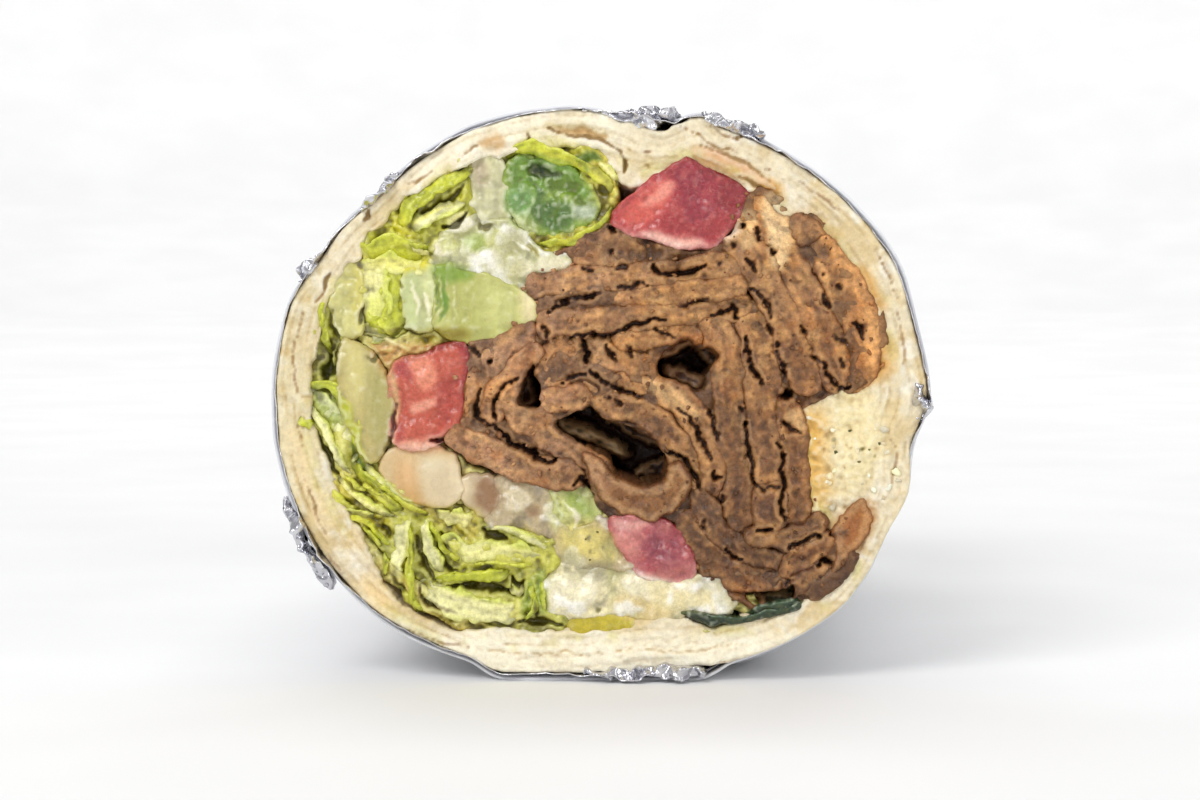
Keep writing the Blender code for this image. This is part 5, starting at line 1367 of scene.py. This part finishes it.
def roll_radius(angle):
    """Radius of the plain roll: an ellipse above, squarer below where its weight spreads it."""
    a = np.radians(angle)
    power = 2.0 + 0.3 * step(-np.sin(a), -0.1, 0.8)
    return (np.abs(np.cos(a) / ROLL_HALF_WIDTH) ** power + np.abs(np.sin(a) / HALF_HEIGHT) ** power) ** (-1 / power)


def cut_radius(angle):
    """Radius of the bread's own outline at the cut, with the dent in its top bridged."""
    ring = smooth(BREAD_OUTER, closed=True)
    own = np.degrees(np.arctan2(ring[:, 1] - MIDDLE, ring[:, 0])) % 360
    order = np.argsort(own)
    radius = np.hypot(ring[:, 0], ring[:, 1] - MIDDLE)[order]
    own = own[order]
    found = np.interp(angle % 360, np.r_[own[-1] - 360, own, own[0] + 360], np.r_[radius[-1], radius, radius[0]])
    bridged = bump(angle, 81, 1.0, 12) > 0.3
    return np.where(bridged, np.maximum(found, roll_radius(angle) - 0.9), np.minimum(found, roll_radius(angle) + 0.2))


def wrapper_section(depth, clear, angle):
    """Section of the wrapper at a depth, the given distance outside the bread, flat where it rests."""
    sag = step(depth, 0, 14) * (1 - step(depth, 0.7 * HEEL, HEEL))
    swell = (bump(angle, -50, 2.4, 24) + bump(angle, -134, 1.6, 24)) * sag
    settled = step(depth, 1, 26)
    radius = cut_radius(angle) * (1 - settled) + roll_radius(angle) * settled + swell
    a = np.radians(angle)
    size = 1 - (1 - TAPER) * depth / ROLL_LENGTH
    x = radius * np.cos(a) * size
    z = (MIDDLE + radius * np.sin(a) - BREAD_LOW) * size + BREAD_LOW
    x, z = x + clear * np.cos(a), z + clear * np.sin(a)
    flat = (1 - step(np.abs(x), 11.5, 16.5)) * (z < MIDDLE)
    return x, z * (1 - flat) + (WRAPPED - clear) * flat


def arc(share, start, lead, draw, end):
    """A place on the Bezier curve from start to end."""
    weights = np.array([(1 - share) ** 3, 3 * share * (1 - share) ** 2, 3 * share**2 * (1 - share), share**3])
    return weights @ np.array([start, lead, draw, end], float)


def folded_ring(share, clear, angle):
    """A leaning ring of the folded end: the top comes down a steep slope and the bottom lifts to the nose."""
    x, z = wrapper_section(HEEL, clear, angle)
    lowest, highest = z.min(), z.max()
    inward = WRAPPED - clear
    half = max(NOSE_THICKNESS / 2 - inward, 0.2)
    tip = LENGTH - 1.5 * inward
    top = arc(share, (SHOULDER - 6, highest), (SHOULDER + 4 - inward, highest - 1),
              (SHOULDER + 6 - inward, highest - 15), (tip, NOSE_HEIGHT + half))
    low = arc(share, (HEEL, lowest), (HEEL + 6, lowest + 1.6), (HEEL + 20 - inward, lowest + 4),
              (tip, NOSE_HEIGHT - half))
    height = (z - lowest) / (highest - lowest)
    path = low + (top - low) * height[:, None]
    narrow = 1 + (NOSE_HALF_WIDTH / np.abs(x).max() - 1) * step(share, 0, 1.15)
    pushed = 0.16 * math.sin(math.pi * share) * (4 * height * (1 - height)) ** 2
    return np.stack([x * narrow * (1 - pushed), path[:, 0], path[:, 1]], axis=1)


def flap_rings(angle):
    """The flattened end past the nose, turned under and pressed back against the folded end."""
    nose = folded_ring(1.0, WRAPPED, angle)
    off = nose[:, 2] - NOSE_HEIGHT
    turns = [(FLAP_TURN * math.sin(math.radians(w)), FLAP_TURN * (math.cos(math.radians(w)) - 1), w)
             for w in np.linspace(12, 180 - FLAP_SLOPE, 9)]
    ahead, down, way = turns[-1]
    back, sunk = math.cos(math.radians(FLAP_SLOPE)), math.sin(math.radians(FLAP_SLOPE))
    reaches = np.linspace(0.08, 1, 10) * FLAP_LENGTH
    turns += [(ahead - reach * back, down - reach * sunk, way) for reach in reaches]
    rings = []
    for ahead, down, way in turns:
        lean = math.radians(way)
        rings.append(np.stack([nose[:, 0], nose[0, 1] + ahead + off * math.sin(lean),
                               NOSE_HEIGHT + down + off * math.cos(lean)], axis=1))
    return rings


def surface_normals(rings):
    """Outward directions of a grid of rings, from their neighbours."""
    around = np.roll(rings, -1, axis=1) - np.roll(rings, 1, axis=1)
    along = np.gradient(rings, axis=0)
    normal = np.cross(along, around)
    normal /= np.maximum(np.linalg.norm(normal, axis=2, keepdims=True), 1e-9)
    centre = rings.mean(axis=1, keepdims=True)
    flip = np.sign(((rings - centre) * normal).sum(axis=2).mean())
    return normal * flip


def tube_faces(rows, around):
    """Quads between successive rings of a tube, facing outwards for rings that go from the cut to the back."""
    index = np.arange(rows * around).reshape(rows, around)
    onward = np.roll(index, -1, axis=1)
    quads = np.stack([index[:-1], index[1:], onward[1:], onward[:-1]], axis=-1)
    return quads.reshape(-1, 4)


def make_paper():
    angle = np.arange(PAPER_AROUND) * 360 / PAPER_AROUND
    depths = np.concatenate([np.linspace(0, 6, 9), np.linspace(7, 94, 88)])
    straight = []
    for depth in depths:
        x, z = wrapper_section(depth, WRAPPED, angle)
        straight.append(np.stack([x, np.full(len(x), depth), z], axis=1))
    folded = [folded_ring(share, WRAPPED, angle) for share in np.linspace(0, 1, 44)]
    rings = np.array(straight + folded + flap_rings(angle))
    rows = len(rings)
    along = np.concatenate([[0], np.cumsum(np.linalg.norm(np.diff(rings.mean(axis=1), axis=0), axis=1))])
    path = np.vstack([np.zeros(PAPER_AROUND), np.cumsum(np.linalg.norm(np.diff(rings, axis=0), axis=2), axis=0)])
    round_mm = np.radians(angle) * 37.0
    u, v = np.meshgrid(round_mm, along)
    wrap = np.meshgrid(angle, along)[0]
    # wrinkles: soft dents, sharp creases, and gathers towards the folded end
    cu, cv = 37 * np.cos(np.radians(wrap)), 37 * np.sin(np.radians(wrap))
    dents = 0.5 * noise(601, cu / 16 + v / 40, cv / 16 + v / 25) + 0.25 * noise(602, cu / 8 + v / 17, cv / 8 - v / 15)
    creases = crumple(611, cu / 1.2 + v * 0.5, cv / 1.2 - v * 0.35, 13)
    depth_share = step(v, 84, 118)
    gathers = 0.8 * np.abs(noise(621, wrap / 11 + 0.02 * v, v / 45)) * depth_share
    nose = 1 - step(v, 128, 142) * 0.75
    quiet = step(v, 0.5, 12)
    resting = (1 - step(rings[..., 2], 0.3, 4)) * (1 - step(v, 95, 105))
    wrinkles = crumple(615, wrap * 0.16 + v * 0.05, v * 0.42 + 2.5 * noise(617, wrap / 30, v / 30), 9, 2)
    soft = np.abs(noise(604, cu / 19 - v / 31 + 0.4 * dents, cv / 19 + v / 22)) + 0.5 * creases
    inward = (0.1 + 0.5 * dents + 1.9 * soft * (0.6 + 0.4 * depth_share) + 0.5 * wrinkles + gathers) * nose
    inward = inward * (0.25 + 0.75 * quiet) * (1 - resting)
    edge = 0.35 * rough(631, cu, cv, 9, 3) * (1 - step(v, 0, 4))
    normal = surface_normals(rings)
    seam = 0.32 * step(off_angle(wrap, 152 + 0.05 * v + 1.2 * noise(641, v / 18, 0 * v)), -0.4, 0.4)
    outer = rings - normal * (inward - seam * quiet * nose * (1 - resting))[..., None]
    outer[..., 1] += edge + 0.9 * (1 - step(v, 0, 5))
    inner_rows = [0, 3, 8, 14, 30, 60, 90, rows - 21]
    inset = [0.32, 0.4, 1.2, 2.0, 2.2, 2.2, 2.2, 1.6]
    inner = np.array([outer[row] - normal[row] * gap for row, gap in zip(inner_rows, inset)])
    whole = np.vstack([inner[::-1].reshape(-1, 3), outer.reshape(-1, 3)])
    faces = tube_faces(len(inner) + rows, PAPER_AROUND).tolist()
    total = len(whole)
    whole = np.vstack([whole, inner[-1].mean(axis=0), outer[-1].mean(axis=0)])
    last = (len(inner) + rows - 1) * PAPER_AROUND
    for i in range(PAPER_AROUND):
        j = (i + 1) % PAPER_AROUND
        faces.append([i, j, total])
        faces.append([last + j, last + i, total + 1])
    pad = np.zeros(inner.shape[:2])
    values = {
        "round": np.concatenate([pad.ravel(), u.ravel(), [0, 0]]),
        "along": np.concatenate([pad.ravel(), path.ravel(), [0, 0]]),
        "front": np.concatenate([pad.ravel() + 1, (1 - step(v, 0, 1)).ravel(), [0, 0]]),
    }
    piece = build_mesh("wrap_paper", to_world(whole), faces, wrapper_finish(), values)
    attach(piece, "root")
    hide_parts("paper_wrap")


def off_angle(angle, middle):
    """Millimetres round the roll from an angle."""
    return ((angle - middle + 180) % 360 - 180) * math.pi / 180 * 37


def tucked(angle):
    """1 along the lower right, where the foil stays back and the paper shows."""
    side = (angle + 180) % 360 - 180
    return step(side, -86, -74) * step(side, -8, -18)


TUFTS = [  # where the foil's edge is drawn out and crumpled: angle, reach forward, width in degrees, swell outward
    (155, 1.2, 4.5, 0.4),
    (83, 0.8, 8.0, 0.2),
    (-1, 0.8, 5.0, 0.3),
    (209, 1.0, 5.0, 0.3),
    (-82, 2.2, 9.0, 0.0),
    (128, 0.4, 7.0, 0.2),
    (57, 0.5, 9.0, 0.1),
]
FOIL_SCRAPS = [  # crumpled ends of the foil that turn out over the cut: height and outline
    (0.1, [(-1.4, 69.5), (2, 69.9), (6, 70.1), (9, 69.8), (10.2, 68.8), (7.8, 67.7), (5.2, 66.8), (2.6, 68), (0.4, 69)]),
    (0.0, [(-37, 50.2), (-36.2, 51.3), (-35, 51.8), (-34.2, 51.2), (-34.6, 50), (-35.6, 49), (-36.6, 48.6)]),
    (0.0, [(-38.8, 22.4), (-38.2, 22.8), (-37.2, 20.6), (-36.4, 18.8), (-35.8, 16.8), (-34.6, 14.8), (-33.6, 13),
           (-32.6, 11.6), (-33.6, 11.4), (-35, 12.8), (-35.8, 14.4), (-37.2, 16.6), (-38, 18.8)]),
    (0.0, [(38.6, 36.6), (39.4, 36), (39.9, 34.6), (39.4, 33.2), (38.4, 32.6), (38.2, 34.2)]),
    (0.8, [(-2, 1.2), (1, 1.8), (3, 1.5), (5, 1.9), (9, 2), (11, 1.4), (13, 1.6), (12, 0.8), (7, 0.9), (4, 0.5),
           (-1, 0.7)]),
    (0.3, [(-29, 58.4), (-26.4, 60.6), (-24.6, 62), (-25.4, 60.4), (-27.4, 58.4), (-28.8, 57.4)]),
    (0.3, [(12.4, 68.9), (15, 68.6), (18, 67.6), (20, 66.6), (18, 66.6), (14.6, 67.8)]),
]


def make_foil():
    around = 720
    angle = np.arange(around) * 360 / around
    depths = np.concatenate([np.linspace(0, 5, 15), np.linspace(5.6, 12, 6), np.linspace(20, 88, 5)])
    forward, outward = np.zeros(around), np.zeros(around)
    for middle, reach, width, swell in TUFTS:
        forward += bump(angle, middle, reach, width)
        outward += bump(angle, middle, swell, width)
    rings = []
    for depth in depths:
        x, z = wrapper_section(depth, 0.45 - 1.7 * step(depth, 1.5, 9), angle)
        rings.append(np.stack([x, np.full(around, depth), z], axis=1))
    rings = np.array(rings)
    wrap, v = np.meshgrid(angle, depths)
    near = 1 - step(v, 0, 2.5)
    cu, cv = 37 * np.cos(np.radians(wrap)), 37 * np.sin(np.radians(wrap))
    folds = crumple(701, cu + 0.6 * v, cv - 0.6 * v, 3.2, 4)
    normal = surface_normals(rings)
    wild = 0.2 + 1.0 * np.minimum(outward + 0.4 * forward, 1.6) * near
    shift = np.maximum((folds - 0.5) * wild, -0.04) + outward * near * 0.8
    outer = rings + normal * shift[..., None]
    ragged = 0.35 * rough(711, cu, cv, 3.0, 4)
    outer[..., 1] -= (forward + 0.25 + ragged - 2.4 * tucked(wrap)) * near
    outer[..., 2] = np.maximum(outer[..., 2], 0.35)
    inner = outer - normal * 0.12
    whole = np.vstack([inner[::-1].reshape(-1, 3), outer.reshape(-1, 3)])
    faces = tube_faces(2 * len(depths), around).tolist()
    first, last = 0, (2 * len(depths) - 1) * around
    for i in range(around):
        j = (i + 1) % around
        faces.append([last + i, first + i, first + j, last + j])
    finish = foil_finish()
    piece = build_mesh("foil_sheet", to_world(whole), faces, finish)
    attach(piece, "root")
    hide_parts("foil_lining")
    parts = []
    for height, outline in FOIL_SCRAPS:
        field = ring_field(smooth(outline, closed=True, steps=4), WX, WZ)
        field = np.maximum(field + 0.5 * rough(757, GX, GZ, 1.6, 3), 0.2 - GZ)
        folds = crumple(751, 1.2 * WX + 0.5 * WZ, 1.2 * WZ - 0.5 * WX, 3.2, 3)
        parts.append(carve(field, height + 2.2 * (folds - 0.5), (0.8, 1.8), {}, 0.1))
    add_piece("foil_scraps", join(parts), finish)


def wrapper_finish():
    """White paper with a faint honeycomb of darker lines."""
    f = Finish("wrap_paper", Roughness=0.5, Specular_IOR_Level=0.35)
    size = 18.5
    across, along = size, size * math.sqrt(3)
    u, v = f.attribute("round"), f.attribute("along")

    def folded(value, span, shift):
        moved = f.maths("ADD", value, shift)
        wrapped = f.maths("FLOORED_MODULO", moved, span)
        return f.maths("ABSOLUTE", f.maths("SUBTRACT", wrapped, span / 2), 0)

    def from_centre(shift_u, shift_v):
        a, b = folded(u, across, shift_u), folded(v, along, shift_v)
        slanted = f.maths("ADD", f.maths("MULTIPLY", a, 0.5), f.maths("MULTIPLY", b, math.sqrt(3) / 2))
        return f.maths("MAXIMUM", a, slanted)

    nearest = f.maths("MINIMUM", from_centre(0, 0), from_centre(across / 2, along / 2))
    line = f.between(nearest, size / 2 - 0.9, size / 2 - 0.3, 0, 0.6)
    line = f.maths("MULTIPLY", line, f.maths("SUBTRACT", 1, f.attribute("front")))
    line = f.maths("MULTIPLY", line, f.between(f.noise(5, 3), 0.3, 0.6, 0.25, 1.0))
    base = f.mix(f.between(f.noise(12, 3), 0.3, 0.7), (228, 229, 232), (219, 220, 225))
    f.colour(f.mix(line, base, (196, 198, 205)))
    f.bump((f.noise(4.0, 4, 0.6, 1.2), 0.3), (f.noise(0.8, 2), 0.02))
    return f.material


def foil_finish():
    f = Finish("foil", Metallic=1.0)
    f.colour(f.mix(f.between(f.noise(3, 2), 0.3, 0.7), (222, 222, 226), (196, 196, 202)))
    f.roughness(f.between(f.noise(2, 2), 0.3, 0.7, 0.16, 0.3))
    f.bump((f.noise(1.2, 3), 0.05))
    return f.material


def add_stage():
    floor = bpy.data.meshes.new("floor")
    rings, faces = [], []
    around = 96
    profile = [(0.0, 0.0), (0.9, 0.0), (1.2, 0.02), (1.45, 0.09), (1.62, 0.22), (1.72, 0.4), (1.76, 0.62)]
    for radius, height in profile[1:]:
        for i in range(around):
            a = 2 * math.pi * i / around
            rings.append((radius * math.cos(a), radius * math.sin(a), height))
    faces.append(list(range(around)))
    for row in range(len(profile) - 2):
        for i in range(around):
            j = (i + 1) % around
            faces.append([row * around + j, row * around + i, (row + 1) * around + i, (row + 1) * around + j])
    floor.from_pydata(rings, [], faces)
    floor.shade_smooth()
    f = Finish("floor", Roughness=0.6, Specular_IOR_Level=0.2)
    f.colour(f.mix(f.between(f.noise(60, 2), 0.3, 0.7), (240, 240, 240), (244, 244, 244)))
    floor.materials.append(f.material)
    piece = bpy.data.objects.new("floor", floor)
    bpy.context.scene.collection.objects.link(piece)


def add_light(name, place, target, size, power, colour=(1, 1, 1)):
    lamp = bpy.data.lights.new(name, "AREA")
    lamp.shape = "RECTANGLE"
    lamp.size, lamp.size_y = size
    lamp.energy = power
    lamp.color = colour
    thing = bpy.data.objects.new(name, lamp)
    thing.location = place
    thing.rotation_euler = (Vector(target) - Vector(place)).to_track_quat("-Z", "Y").to_euler()
    bpy.context.scene.collection.objects.link(thing)


def add_camera():
    camera = bpy.data.cameras.new("camera")
    camera.lens = 85
    thing = bpy.data.objects.new("camera", camera)
    bpy.context.scene.collection.objects.link(thing)
    target = Vector((0.0, FACE * MM, 0.0345))
    azimuth, elevation, distance = math.radians(2.5), math.radians(3.0), 0.345
    back = Vector((math.sin(azimuth) * math.cos(elevation), -math.cos(azimuth) * math.cos(elevation),
                   math.sin(elevation)))
    thing.location = target + back * distance
    thing.rotation_euler = (-back).to_track_quat("-Z", "Y").to_euler()
    camera.clip_start = 0.01
    bpy.context.scene.camera = thing


def add_world():
    world = bpy.data.worlds.new("studio")
    world.use_nodes = True
    world.node_tree.nodes["Background"].inputs["Color"].default_value = (1, 1, 1, 1)
    world.node_tree.nodes["Background"].inputs["Strength"].default_value = 0.4
    bpy.context.scene.world = world
    bpy.context.scene.view_settings.view_transform = "Standard"


finishes = {
    "meat": meat_finish(),
    "bread": bread_finish(),
    "tomato": tomato_finish(),
    # after each wet finish's name: its painted shade colour for the hollows and painted highlight colour for the ridges
    "flesh": wet_finish("wet_flesh", (110, 116, 60), (240, 240, 214), 0.2),
    "firm": wet_finish("firm_flesh", (150, 150, 96), (246, 244, 226), 0.2, 0.04),
    "leaf": wet_finish("lettuce", (92, 88, 22), (232, 230, 150), 0.2),
    "sauce": wet_finish("sauce", (176, 170, 128), (252, 250, 244), 0.5),
}
make_meat(finishes["meat"])
make_chunks(finishes)
make_bed(finishes)
make_lettuce(finishes)
make_sauce(finishes)
make_pickle_scraps(finishes)
make_bread(finishes["bread"])
make_all_bits(finishes)
make_paper()
make_foil()
add_stage()
add_camera()
add_world()
add_light("key", (-0.45, -0.85, 0.75), (0, 0, 0.03), (0.5, 0.5), 7)
add_light("fill", (0.8, -0.8, 0.35), (0, 0, 0.03), (0.8, 0.8), 3)
add_light("top", (0.0, 0.2, 1.1), (0, 0, 0.03), (0.9, 0.9), 4)
add_light("backdrop", (0.0, 0.7, 1.2), (0, 1.7, 0.25), (1.6, 0.6), 10)
